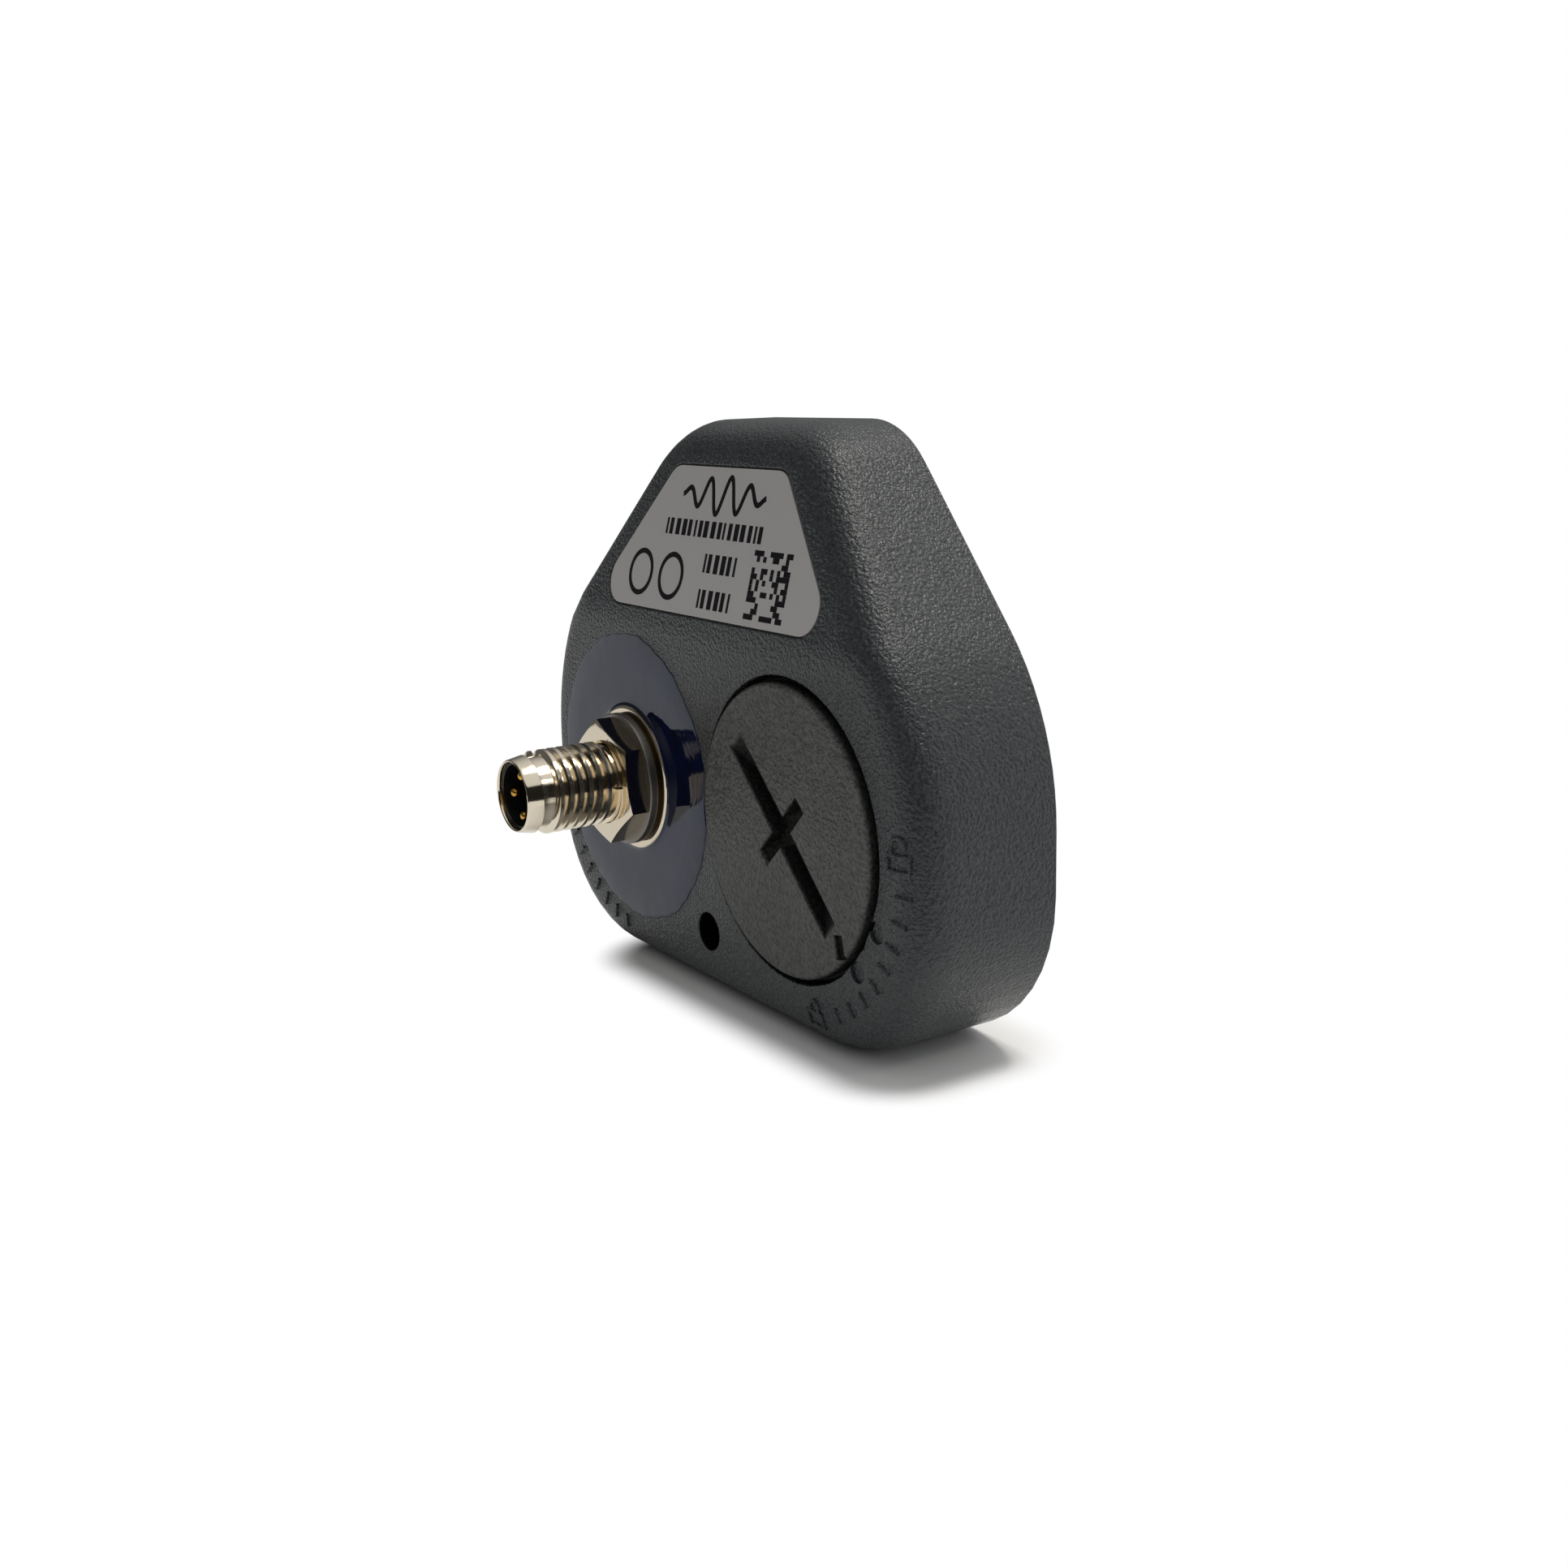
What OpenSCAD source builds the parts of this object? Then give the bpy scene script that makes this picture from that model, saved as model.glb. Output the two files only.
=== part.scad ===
// Battery-powered vibration sensor tag with a bayonet battery cover and a threaded plug connector.
// Millimetres. +Z is up, the front faces -Y, the base is at Z = 0 and the depth is centred on Y = 0.

/* [Housing] */
// Width across the sides
body_w = 64; // [63:0.1:68]
// Height from base to top
body_h = 52.6; // [52:0.1:56]
// Depth from front face to back
body_d = 14.4; // [14.4:0.1:18]
// Half width of the flat top, to the sharp corner
top_half_w = 12.2; // [12:0.1:14]
// Height where the slanting sides meet the upright sides
shoulder_z = 29.1; // [28:0.1:31]
// Corner radius at the base
base_corner_r = 14.5; // [12:0.5:16]
// Corner radius at the shoulders
shoulder_r = 24.9; // [20:0.1:26]
// Corner radius at the top
top_corner_r = 9.6; // [8:0.1:10]
// Rounding of the front edge
edge_r = 4; // [3:0.1:4.2]
// Rounding of the back edge
back_edge = 0.4; // [0.2:0.1:0.6]
// Tilt of the upper front
slope_deg = 15; // [14:0.5:16]
// Height of the bend of the front above the wells
bend_rise = 2.35; // [2:0.05:2.6]
// Reach of the soft bend above and below that height
bend_reach = 1.2; // [0.8:0.1:1.4]
// Thickness of the side walls
wall = 2.8; // [2.6:0.1:3]
// Thickness of the front wall
front_wall = 2.4; // [2.2:0.1:2.4]

/* [Rear cover] */
// Thickness of the rear cover
rear_t = 2; // [1.8:0.1:2.1]
// Wall left beside the rear cover
rim_t = 1.6; // [1.4:0.1:1.7]
// Gap between the rear cover and its rim
rear_fit = 0.15; // [0.1:0.05:0.2]
// Thickness of the gasket as pressed
gasket_t = 0.6; // [0.4:0.1:0.8]
// Radius of a screw shank
screw_r = 1; // [0.8:0.1:1.1]
// Radius of a screw head
screw_head_r = 1.9; // [1.7:0.1:2]
// Height of a screw head
screw_head_h = 1.1; // [0.9:0.1:1.2]
// Length of a rear screw under its head
screw_l = 6; // [5:0.5:7]

/* [Mounting hole] */
// Radius of the hole for the mounting screw
mount_r = 1.75; // [1.6:0.05:1.8]
// Height of the mounting hole
mount_z = 6.3; // [6:0.1:6.5]
// Wall of the tube round the mounting hole
mount_wall = 1.45; // [1.2:0.05:1.6]

/* [Battery well] */
// Wall left between the two wells
land_t = 0.3; // [0.3:0.1:1]
// Height of the well centres
well_z = 18.7; // [18.5:0.1:19.5]
// Radius of each front opening
opening_r = 13.35; // [13.1:0.05:13.5]
// Depth of the seat of the cover's flange
seat_d = 2.6; // [2.5:0.1:2.8]
// Thickness of the bayonet ledge
ledge_t = 1.4; // [1.2:0.1:1.5]
// Reach of the bayonet lugs from the skirt
lug_reach = 0.9; // [0.7:0.1:1]
// Thickness of a bayonet lug
lug_t = 1; // [0.8:0.1:1.1]
// Width of a bayonet lug in degrees
lug_deg = 16; // [12:1:18]
// Turn of the cover from closed to open
turn_deg = 20; // [20:1:24]
// Clearance of the cover in its seat
cover_gap = 0.5; // [0.35:0.05:0.55]
// Running clearance of skirt and lugs
skirt_fit = 0.2; // [0.15:0.05:0.25]
// Height of the cover above the front face
cover_proud = 0.5; // [0.3:0.1:0.8]
// Thickness of the cover's face above the cell pad
cover_face_t = 2.5; // [2.4:0.1:2.6]
// Rounding of the cover's rim
cover_edge_r = 0.5; // [0.3:0.1:0.5]
// Length of the coin slot
slot_l = 20.4; // [18:0.2:21]
// Width of the coin slot
slot_w = 2.3; // [1.8:0.1:2.5]
// Length of the cross slot
cross_l = 8.4; // [8:0.2:10]
// Width of the cross slot
cross_w = 1.65; // [1.4:0.05:1.8]
// Depth of both slots
slot_d = 1.5; // [1.2:0.1:1.6]
// Radius of the O-ring section
seal_r = 0.62; // [0.6:0.01:0.65]

/* [Coin cell] */
// Radius of the coin cell
cell_r = 10; // [9.9:0.05:10]
// Thickness of the coin cell
cell_t = 3.2; // [3:0.1:3.2]
// Thickness of the foam pad as pressed
pad_t = 1.2; // [1:0.1:1.3]
// Thickness of the contact strip
strip_t = 0.25; // [0.2:0.05:0.3]

/* [Connector] */
// Radius of the connector thread
thread_r = 4; // [3.9:0.05:4.1]
// Height of the connector's front end above the front face
connector_h = 12.9; // [12:0.1:14]
// Radius of the smooth collar where it is widest
collar_r = 3.75; // [3.7:0.05:3.8]
// Length of the smooth collar
collar_l = 1.6; // [1.4:0.1:2]
// Length of the neck behind the collar
neck_l = 0.8; // [0.6:0.1:1.2]
// Taper of the collar towards its front end
collar_taper = 0.3; // [0.2:0.05:0.35]
// Wall of the collar at its front end
collar_wall = 0.25; // [0.2:0.05:0.3]
// Depth of the socket round the pins
socket_d = 6; // [5:0.5:6.5]
// Radius of a contact pin
pin_r = 0.45; // [0.4:0.05:0.5]
// Width of the nut across its flats
nut_af = 10.5; // [10:0.1:11]
// Thickness of the nut
nut_t = 1.9; // [1.7:0.1:2.1]
// Thickness of the lock washer
lock_t = 0.85; // [0.7:0.05:1]
// Thickness of the spacer ring
spacer_t = 0.35; // [0.3:0.05:0.6]
// Thickness of the flange washer
flat_t = 0.3; // [0.25:0.05:0.5]
// Height of the resin surface above the front face
resin_rise = 0.08; // [0.06:0.01:0.12]
// Radius of the resin that ran over the rim
spill_r = 14.05; // [13.8:0.05:14.1]
// Thickness of the panel that carries the connector
panel_t = 2.2; // [2:0.1:2.4]

/* [Circuit board] */
// Thickness of the circuit board
board_t = 1.2; // [1:0.1:1.2]
// Gap between the circuit board and the walls
board_gap = 0.6; // [0.5:0.1:0.8]

/* [Hidden] */
$fn = 64;
eps = 0.02;
overlap = 0.3;
front_y = -body_d / 2;
half_w = body_w / 2;
side_deg = atan2(half_w - top_half_w, body_h - shoulder_z);
slope = tan(slope_deg);
bend_z = well_z + opening_r + bend_rise;
well_x = opening_r + land_t / 2;
corner_steps = 10;
edge_step_deg = 10;
snug = 0.05;

// Depths are measured from the lower front face, inwards.
rear_d = body_d - rear_t;
ledge_d = rear_d - gasket_t;

// Wells, from the front inwards
well_wall = 1.25;
ledge_reach = 1.35;
cell_gap = 0.3;
spring_room = 1.4;
floor_t = 1.4;
cell_step_h = 0.4;
cell_step_r = 1.2;
pad_r = cell_r - 2;
well_outer_r = opening_r + well_wall;
ledge_end = seat_d + ledge_t;
groove_end = ledge_end + lug_t + 2 * skirt_fit;
cover_r = opening_r - cover_gap;
ledge_bore_r = opening_r - ledge_reach;
skirt_r = ledge_bore_r - skirt_fit;
lug_r = skirt_r + lug_reach;
groove_r = lug_r + skirt_fit;
entry_r = lug_r + skirt_fit / 2;
skirt_in_r = cell_r + cell_gap;
cell_bore_r = skirt_in_r + skirt_fit;
cover_inner_d = cover_face_t - cover_proud;
cell_d = cover_inner_d + pad_t + skirt_fit;
cell_end = cell_d + cell_t;
floor_d = cell_end + spring_room;
floor_end = floor_d + floor_t;
slot_fit_deg = 1.5;
lug_angles = [90, 210, 330];
slot_angle = -45;
slot_ramp = 3.2;
cross_ramp = 1.4;
index_angle = -44;
index_lean = -34;
index_w = 1.25;
index_l = 2.1;
index_d = 0.35;
index_edge = 0.15;
dent_r = 0.95;
dent_out = 0.8;
dent_d = 0.3;
seal_centre_r = opening_r - snug - seal_r;
seal_d = 1.5;
seal_groove_r = seal_centre_r - seal_r - snug;
seal_groove_w = 2 * seal_r + 0.06;

// Connector stack, as heights above the front face
thread_depth = 0.35;
thread_relief = 0.3;
flat_top = resin_rise + flat_t;
spacer_top = flat_top + spacer_t;
lock_top = spacer_top + lock_t;
nut_top = lock_top + nut_t;
thread_top = connector_h - collar_l - neck_l;
thread_low = nut_top + thread_relief;
shank_r = thread_r - thread_depth;
hole_r = thread_r + snug;
neck_r = collar_r - 0.35;
socket_r = collar_r - collar_taper - collar_wall;
recess_d = front_wall;
panel_end = recess_d + panel_t;
flange_r = 5.5;
flange_t = 1.4;
seal_ring_t = 0.6;
sleeve_t = 0.3;
insert_l = 1;
liner_t = 0.2;
liner_sink = 0.5;
pin_sink = 0.5;
flange_d = panel_end + seal_ring_t;
insert_end = flange_d + flange_t + insert_l;
socket_floor = connector_h - socket_d;
pin_tip = connector_h - pin_sink;
pin_places = [[0.55, 1.93], [-1.23, 0], [0.55, -1.93]];
flat_r = 7;
spacer_r = 6.35;
lock_r = 6.4;
nut_corner_r = nut_af / 2 / cos(30);
nut_turn_deg = 98;

// Contacts of the cell
tongue_w = 3;
tongue_l = 7;
tongue_y = -4.5;
tab_w = 4;
tab_l = 2;
tail_w = 1.2;
tail_end = 0.3;
way_gap = 0.4;
rim_contact_y = cell_r + snug + strip_t / 2;

// Board and screws
part_gap = 0.5;
board_d = floor_end + part_gap;
board_end = board_d + board_t;
board_inset = wall + board_gap;
boss_r = 2.2;
post_r = 2;
notch_gap = 0.4;
tube_r = mount_r + mount_wall;
boss_inset = wall + boss_r;
post_side = 7.6;
post_rise = 0.9;
post_drop = 0.7;
base_reach = (base_corner_r - boss_inset) * sqrt(1 / 2);
top_reach = top_corner_r - boss_inset;
top_deg = 45 + side_deg / 2;
low_screw = [half_w - base_corner_r + base_reach, base_corner_r - base_reach];
high_screw = [top_half_w - top_corner_r * tan(45 - side_deg / 2) + top_reach * cos(top_deg),
    body_h - top_corner_r + top_reach * sin(top_deg)];
rear_screw_places = [for (p = [low_screw, high_screw], side = [-1, 1]) [side * p[0], p[1]]];
board_screw_places = [[post_side - half_w, shoulder_z + post_rise], [half_w - post_side, shoulder_z + post_rise],
    [0, bend_z - post_drop]];
head_sink = 0.1;
screw_end = 0.5;
gasket_gap = 0.1;
board_screw_r = 0.8;
board_screw_l = 4;
board_screw_head_r = 1.4;
board_screw_head_h = 0.8;
lead_hole_r = pin_r + snug;

// Parts on the board, in the room between the middle post and the top
room_low = bend_z - post_drop + post_r;
room_h = body_h - board_inset - room_low;
radio_w = 10;
radio_l = 0.667 * room_h;
radio_h = 1.9;
radio_z = room_low + 0.437 * room_h;
antenna_w = 7;
antenna_l = 0.148 * room_h;
antenna_h = 1.2;
antenna_z = room_low + 0.88 * room_h;
row_z = bend_z + 0.222 * room_h;
controller_w = 5;
controller_h = 0.9;
controller_x = 12;
capacitor_w = 7.3;
capacitor_l = 4.3;
capacitor_h = 1.9;
capacitor_x = 13;
crystal_w = 2;
crystal_l = 3.2;
crystal_h = 0.8;
crystal_x = 7;
accelerometer_w = 4;
accelerometer_h = 1;
accelerometer_rise = 4.5;

// Label on the tilted front, kept from the top and the slanting sides
label_low = bend_reach / cos(slope_deg);
label_top_gap = 4.1;
label_low_edge = 4.53;
label_top_edge = 4.85;
label_h = (body_h - bend_z) / cos(slope_deg) - label_low - label_top_gap;
label_low_half = side_x(bend_z + label_low * cos(slope_deg)) - label_low_edge / cos(side_deg);
label_top_half = side_x(bend_z + (label_low + label_h) * cos(slope_deg)) - label_top_edge / cos(side_deg);
label_corner_r = 2.4;
label_recess = 0.3;
label_t = 0.25;
label_fit = 0.15;

// Colours
housing_grey = "#4b4d4f";
cover_grey = "#555655";
nickel = "#c8c6be";
gilt = "#d7b45a";
black = "#1b1b1c";
resin_blue = "#1b2440";

// Outline of the housing seen from the front, drawn inwards by an inset
function outline_corners(inset) = let(
    x = half_w - inset,
    z = shoulder_z - inset * tan(side_deg / 2),
    t = top_half_w - inset * tan(45 - side_deg / 2)
) [[-x, inset], [x, inset], [x, z], [t, body_h - inset], [-t, body_h - inset], [-x, z]];
function outline_radii(inset) = [for (r = [base_corner_r, base_corner_r, shoulder_r, top_corner_r,
    top_corner_r, shoulder_r]) r - inset];
function side_x(z) = top_half_w + (body_h - z) * tan(side_deg);
function unit(v) = v / norm(v);
function corner_arc(before, p, after, r, steps) = let(
    u = unit(before - p),
    v = unit(after - p),
    half = acos(u * v) / 2,
    centre = p + unit(u + v) * r / sin(half),
    start = p + u * r / tan(half) - centre,
    first = atan2(start[1], start[0])
) [for (i = [0 : steps]) centre + r * [cos(first + (180 - 2 * half) * i / steps),
    sin(first + (180 - 2 * half) * i / steps)]];
function rounded(points, radii, steps) = let(n = len(points)) [for (k = [0 : n - 1])
    each corner_arc(points[(k + n - 1) % n], points[k], points[(k + 1) % n], radii[k], steps)];

// Slab of the housing's outline between two depths
module slab(inset, from_d, to_d) {
    translate([0, front_y + to_d, 0])
        rotate([90, 0, 0])
            linear_extrude(to_d - from_d)
                polygon(rounded(outline_corners(inset), outline_radii(inset), corner_steps));
}

// Local frame on the front face: local X and Y run across it and local Z stands out of it
module on_face(x, z) {
    translate([x, front_y, z])
        rotate([90, 0, 0])
            children();
}

// The same frame on the tilted upper front
module on_slope() {
    translate([0, front_y, bend_z])
        rotate([90 - slope_deg, 0, 0])
            children();
}

// Turned ring or disc between two heights
module ring(r_out, r_in, low, high) {
    rotate_extrude()
        translate([r_in, low])
            square([r_out - r_in, high - low]);
}

module bar(r, low, high) {
    translate([0, 0, low])
        cylinder(r = r, h = high - low);
}

// Block centred on the local axis between two heights
module block(w, l, low, high) {
    translate([-w / 2, -l / 2, low])
        cube([w, l, high - low]);
}

// Slabs that step inwards along the rounded front edge, between two heights
module edge_steps(from_z, to_z) {
    intersection() {
        union() {
            for (a = [0 : edge_step_deg : 90])
                slab(edge_r * (1 - cos(a)), edge_r * (1 - sin(a)), edge_r + 1);
        }
        translate([-half_w, front_y, from_z])
            cube([body_w, body_d, to_z - from_z]);
    }
}

// Convex outside of the housing: upright lower front, tilted upper front, rounded edges
module housing_form() {
    hull() {
        edge_steps(0, bend_z - bend_reach);
        multmatrix([[1, 0, 0, 0], [0, 1, slope, -slope * bend_z], [0, 0, 1, 0]])
            edge_steps(bend_z + bend_reach, body_h);
        slab(0, body_d - 1, body_d - back_edge);
        slab(back_edge, body_d - 1, body_d);
    }
}

// Hollow inside, open to the back, with its upper front tilted like the outside
module housing_cavity() {
    difference() {
        slab(wall, front_wall, body_d);
        on_slope()
            block(body_w, 2 * body_h, -front_wall, body_d);
    }
    slab(rim_t, ledge_d, body_d + eps);
}

// Walls, bosses and posts inside the housing
module housing_inside() {
    on_face(well_x, well_z) {
        bar(well_outer_r, -groove_end - 1, -front_wall + eps);
        bar(cell_bore_r + well_wall, -floor_end, -front_wall + eps);
    }
    on_face(-well_x, well_z)
        bar(well_outer_r, -panel_end, -front_wall + eps);
    on_face(0, mount_z)
        bar(tube_r, -body_d, -front_wall + eps);
    for (p = rear_screw_places)
        on_face(p[0], p[1])
            bar(boss_r, -rear_d + snug, eps - front_wall - slope * max(0, p[1] - boss_r - bend_z));
    for (p = board_screw_places)
        on_face(p[0], p[1])
            bar(post_r, -board_d, -front_wall + eps);
}

// Bayonet well with its seat, ledge, entry slots and groove
module battery_well() {
    bar(opening_r, -seat_d, eps);
    bar(ledge_bore_r, -ledge_end - overlap, -seat_d + overlap);
    bar(groove_r, -groove_end, -ledge_end);
    bar(cell_bore_r, -floor_d, -groove_end + overlap);
    for (a = lug_angles)
        rotate([0, 0, a + turn_deg - lug_deg / 2 - slot_fit_deg])
            rotate_extrude(angle = lug_deg + 2 * slot_fit_deg)
                translate([ledge_bore_r - overlap, -ledge_end - overlap])
                    square([entry_r - ledge_bore_r + overlap, ledge_t + 2 * overlap]);
}

// Round dents in the well's rim that the index mark meets when closed and when open
module index_dents() {
    for (a = [index_angle, index_angle + turn_deg])
        rotate([0, 0, a])
            translate([opening_r + dent_out, 0, 0])
                bar(dent_r, -dent_d, eps);
}

// Slots in the well floor and wall for the two contacts
module contact_ways() {
    translate([0, tongue_y, 0])
        block(tail_w + 2 * way_gap, strip_t + 2 * way_gap, -floor_end - eps, -floor_d + eps);
    translate([0, rim_contact_y, 0])
        block(tab_w + 2 * way_gap, strip_t + 2 * way_gap, -floor_end - eps, -groove_end + eps);
}

module front_housing() {
    color(housing_grey)
        difference() {
            union() {
                difference() {
                    housing_form();
                    housing_cavity();
                }
                housing_inside();
            }
            on_face(well_x, well_z) {
                battery_well();
                contact_ways();
                index_dents();
            }
            on_face(-well_x, well_z) {
                bar(opening_r, -recess_d, eps);
                bar(hole_r, -panel_end - eps, -recess_d + eps);
            }
            on_face(0, mount_z)
                bar(mount_r, -body_d - eps, eps);
            for (p = rear_screw_places)
                on_face(p[0], p[1])
                    bar(screw_r + snug, -body_d, -rear_d + screw_l - screw_end);
            for (p = board_screw_places)
                on_face(p[0], p[1])
                    bar(board_screw_r + snug, -body_d, -board_end + board_screw_l + screw_end);
            on_slope()
                label_shape(label_fit, -label_recess, label_recess);
        }
}

module rear_cover() {
    color(housing_grey)
        difference() {
            slab(rim_t + rear_fit, rear_d, body_d);
            on_face(0, mount_z)
                bar(tube_r + rear_fit, -body_d - eps, -rear_d + eps);
            for (p = rear_screw_places)
                on_face(p[0], p[1]) {
                    bar(screw_r + rear_fit, -body_d - eps, -rear_d + eps);
                    bar(screw_head_r + rear_fit, -body_d - eps, -body_d + screw_head_h + head_sink);
                }
        }
}

module housing_gasket() {
    color(black)
        difference() {
            slab(rim_t + gasket_gap, ledge_d, rear_d);
            slab(wall - gasket_gap, ledge_d - eps, rear_d + eps);
        }
}

module rear_screws() {
    color(nickel)
        for (p = rear_screw_places)
            on_face(p[0], p[1]) {
                bar(screw_head_r, -body_d + head_sink, -body_d + screw_head_h + head_sink);
                bar(screw_r, -body_d + screw_head_h, -body_d + screw_head_h + screw_l);
            }
}

// Trapezoid of the label, grown by a margin
module label_shape(margin, low, high) {
    a = label_low_half + 1.5 * margin;
    b = label_top_half + 0.7 * margin;
    translate([0, 0, low])
        linear_extrude(high - low)
            polygon(rounded([[-a, label_low - margin], [a, label_low - margin], [b, label_low + label_h + margin],
                [-b, label_low + label_h + margin]], [for (k = [0 : 3]) label_corner_r + margin], corner_steps));
}

module label_plate() {
    color("#b9bbc0")
        on_slope()
            label_shape(0, -label_recess, label_t - label_recess);
}

// Cast disc whose last film ran over the rim, up to the battery opening
module potting_disc() {
    color(resin_blue)
        difference() {
            on_face(-well_x, well_z) {
                ring(opening_r - snug, shank_r + snug, -recess_d, eps);
                ring(spill_r, shank_r + snug, 0, resin_rise);
            }
            on_face(well_x, well_z)
                bar(opening_r + snug, -seat_d, resin_rise + eps);
        }
}

module connector_shell() {
    color(nickel)
        on_face(-well_x, well_z)
            difference() {
                union() {
                    bar(flange_r, -flange_d - flange_t, -flange_d);
                    bar(shank_r, -flange_d - eps, thread_low + eps);
                    bar(thread_r, thread_low, thread_top);
                    bar(neck_r, thread_top - eps, connector_h - collar_l + eps);
                    translate([0, 0, connector_h - collar_l])
                        cylinder(r1 = collar_r, r2 = collar_r - collar_taper, h = collar_l);
                }
                bar(socket_r, -flange_d - flange_t - eps, connector_h + eps);
            }
}

// Insulating core that holds the pins, with a thin liner inside the collar
module connector_insert() {
    color(black)
        on_face(-well_x, well_z)
            difference() {
                union() {
                    bar(socket_r - snug, -insert_end, socket_floor);
                    ring(socket_r - snug, socket_r - snug - liner_t, socket_floor - eps, connector_h - liner_sink);
                }
                for (p = pin_places)
                    translate([p[0], p[1], 0])
                        bar(pin_r + snug, -insert_end - eps, socket_floor + eps);
            }
}

module connector_pins() {
    color(gilt)
        on_face(-well_x, well_z)
            for (p = pin_places)
                translate([p[0], p[1], 0]) {
                    bar(pin_r, -board_end - tail_end, pin_tip - pin_r);
                    translate([0, 0, pin_tip - pin_r])
                        sphere(r = pin_r, $fn = 24);
                }
}

module connector_nut() {
    color(nickel)
        on_face(-well_x, well_z)
            difference() {
                translate([0, 0, lock_top])
                    linear_extrude(nut_t)
                        polygon([for (k = [0 : 5]) nut_corner_r * [cos(nut_turn_deg + 60 * k),
                            sin(nut_turn_deg + 60 * k)]]);
                bar(shank_r + snug, lock_top - eps, nut_top + eps);
            }
}

module lock_washer() {
    color(nickel)
        on_face(-well_x, well_z)
            ring(lock_r, hole_r, spacer_top, lock_top);
}

module spacer_ring() {
    color("#8a7443")
        on_face(-well_x, well_z)
            ring(spacer_r, hole_r, flat_top, spacer_top);
}

// Flange washer with a round rim
module flat_washer() {
    color(nickel)
        on_face(-well_x, well_z) {
            ring(flat_r - flat_t / 2, hole_r, resin_rise, flat_top);
            rotate_extrude()
                translate([flat_r - flat_t / 2, resin_rise + flat_t / 2])
                    circle(d = flat_t, $fn = 16);
        }
}

module connector_seal() {
    color(black)
        on_face(-well_x, well_z)
            ring(flange_r - gasket_gap, hole_r, -flange_d, -panel_end);
}

module pin_sleeves() {
    color("#b03030")
        on_face(-well_x, well_z)
            for (p = pin_places)
                translate([p[0], p[1], 0])
                    ring(pin_r + sleeve_t, pin_r + snug, -board_d, -insert_end);
}

module battery_cover() {
    color(cover_grey)
        on_face(well_x, well_z)
            difference() {
                union() {
                    rotate_extrude()
                        difference() {
                            union() {
                                translate([0, -seat_d + skirt_fit])
                                    square([cover_r, seat_d - skirt_fit + cover_proud - cover_edge_r]);
                                square([cover_r - cover_edge_r, cover_proud]);
                                translate([cover_r - cover_edge_r, cover_proud - cover_edge_r])
                                    circle(r = cover_edge_r);
                            }
                            translate([seal_groove_r, -seal_d - seal_groove_w / 2])
                                square([cover_r, seal_groove_w]);
                        }
                    bar(skirt_r, -groove_end + skirt_fit, -seat_d + skirt_fit + eps);
                    for (a = lug_angles)
                        rotate([0, 0, a - lug_deg / 2])
                            rotate_extrude(angle = lug_deg)
                                translate([skirt_r - overlap, -groove_end + skirt_fit])
                                    square([lug_reach + overlap, lug_t]);
                }
                bar(skirt_in_r, -groove_end, -cover_inner_d);
                coin_slot();
                rotate([0, 0, index_angle])
                    translate([cover_r - index_l / 2 - index_edge, 0, 0])
                        rotate([0, 0, index_lean])
                            block(index_l, index_w, cover_proud - index_d, cover_proud + eps);
            }
}

// Slot in the cover's face with a flat bottom that ramps up at both ends
module ramped_slot(l, w, ramp) {
    translate([0, w / 2, cover_proud])
        rotate([90, 0, 0])
            linear_extrude(w)
                polygon([[-l / 2, eps], [ramp - l / 2, -slot_d], [l / 2 - ramp, -slot_d], [l / 2, eps]]);
}

// Long slot for a coin and a short slot across it
module coin_slot() {
    rotate([0, 0, slot_angle])
        ramped_slot(slot_l, slot_w, slot_ramp);
    rotate([0, 0, slot_angle + 90])
        ramped_slot(cross_l, cross_w, cross_ramp);
}

module cover_seal() {
    color(black)
        on_face(well_x, well_z)
            translate([0, 0, -seal_d])
                rotate_extrude()
                    translate([seal_centre_r, 0])
                        circle(r = seal_r, $fn = 24);
}

module cell_pad() {
    color("#2c2c30")
        on_face(well_x, well_z)
            bar(pad_r, -cover_inner_d - pad_t, -cover_inner_d);
}

module coin_cell() {
    color(nickel)
        on_face(well_x, well_z) {
            bar(cell_r, -cell_end + cell_step_h, -cell_d);
            bar(cell_r - cell_step_r, -cell_end, -cell_end + cell_step_h + eps);
        }
}

// Sprung tongue on a base strip, with a tail to the board
module negative_contact() {
    rise = floor_d - cell_end - strip_t - snug;
    color(gilt)
        on_face(well_x, well_z)
            translate([0, tongue_y, 0]) {
                block(tab_w, tab_l, -floor_d, -floor_d + strip_t);
                block(tail_w, strip_t, -board_end - tail_end, -floor_d + eps);
                translate([-tongue_w / 2, 0, -floor_d])
                    rotate([atan2(rise, tongue_l), 0, 0])
                        cube([tongue_w, tongue_l, strip_t]);
            }
}

// Upright strip beside the cell's rim, with a tail to the board
module positive_contact() {
    color(gilt)
        on_face(well_x, well_z)
            translate([0, rim_contact_y, 0]) {
                block(tab_w, strip_t, -floor_d, -groove_end - skirt_fit);
                block(tail_w, strip_t, -board_end - tail_end, -floor_d + eps);
            }
}

module circuit_board() {
    color("#1f5a3a")
        difference() {
            slab(board_inset, board_d, board_end);
            for (p = rear_screw_places)
                on_face(p[0], p[1])
                    bar(boss_r + notch_gap, -board_end - eps, -board_d + eps);
            for (p = board_screw_places)
                on_face(p[0], p[1])
                    bar(board_screw_r + snug, -board_end - eps, -board_d + eps);
            on_face(0, mount_z)
                bar(tube_r + notch_gap, -board_end - eps, -board_d + eps);
            on_face(-well_x, well_z)
                for (p = pin_places)
                    translate([p[0], p[1], 0])
                        bar(lead_hole_r, -board_end - eps, -board_d + eps);
            on_face(well_x, well_z)
                for (y = [tongue_y, rim_contact_y])
                    translate([0, y, 0])
                        block(tail_w + way_gap, strip_t + way_gap, -board_end - eps, -board_d + eps);
        }
}

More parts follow.
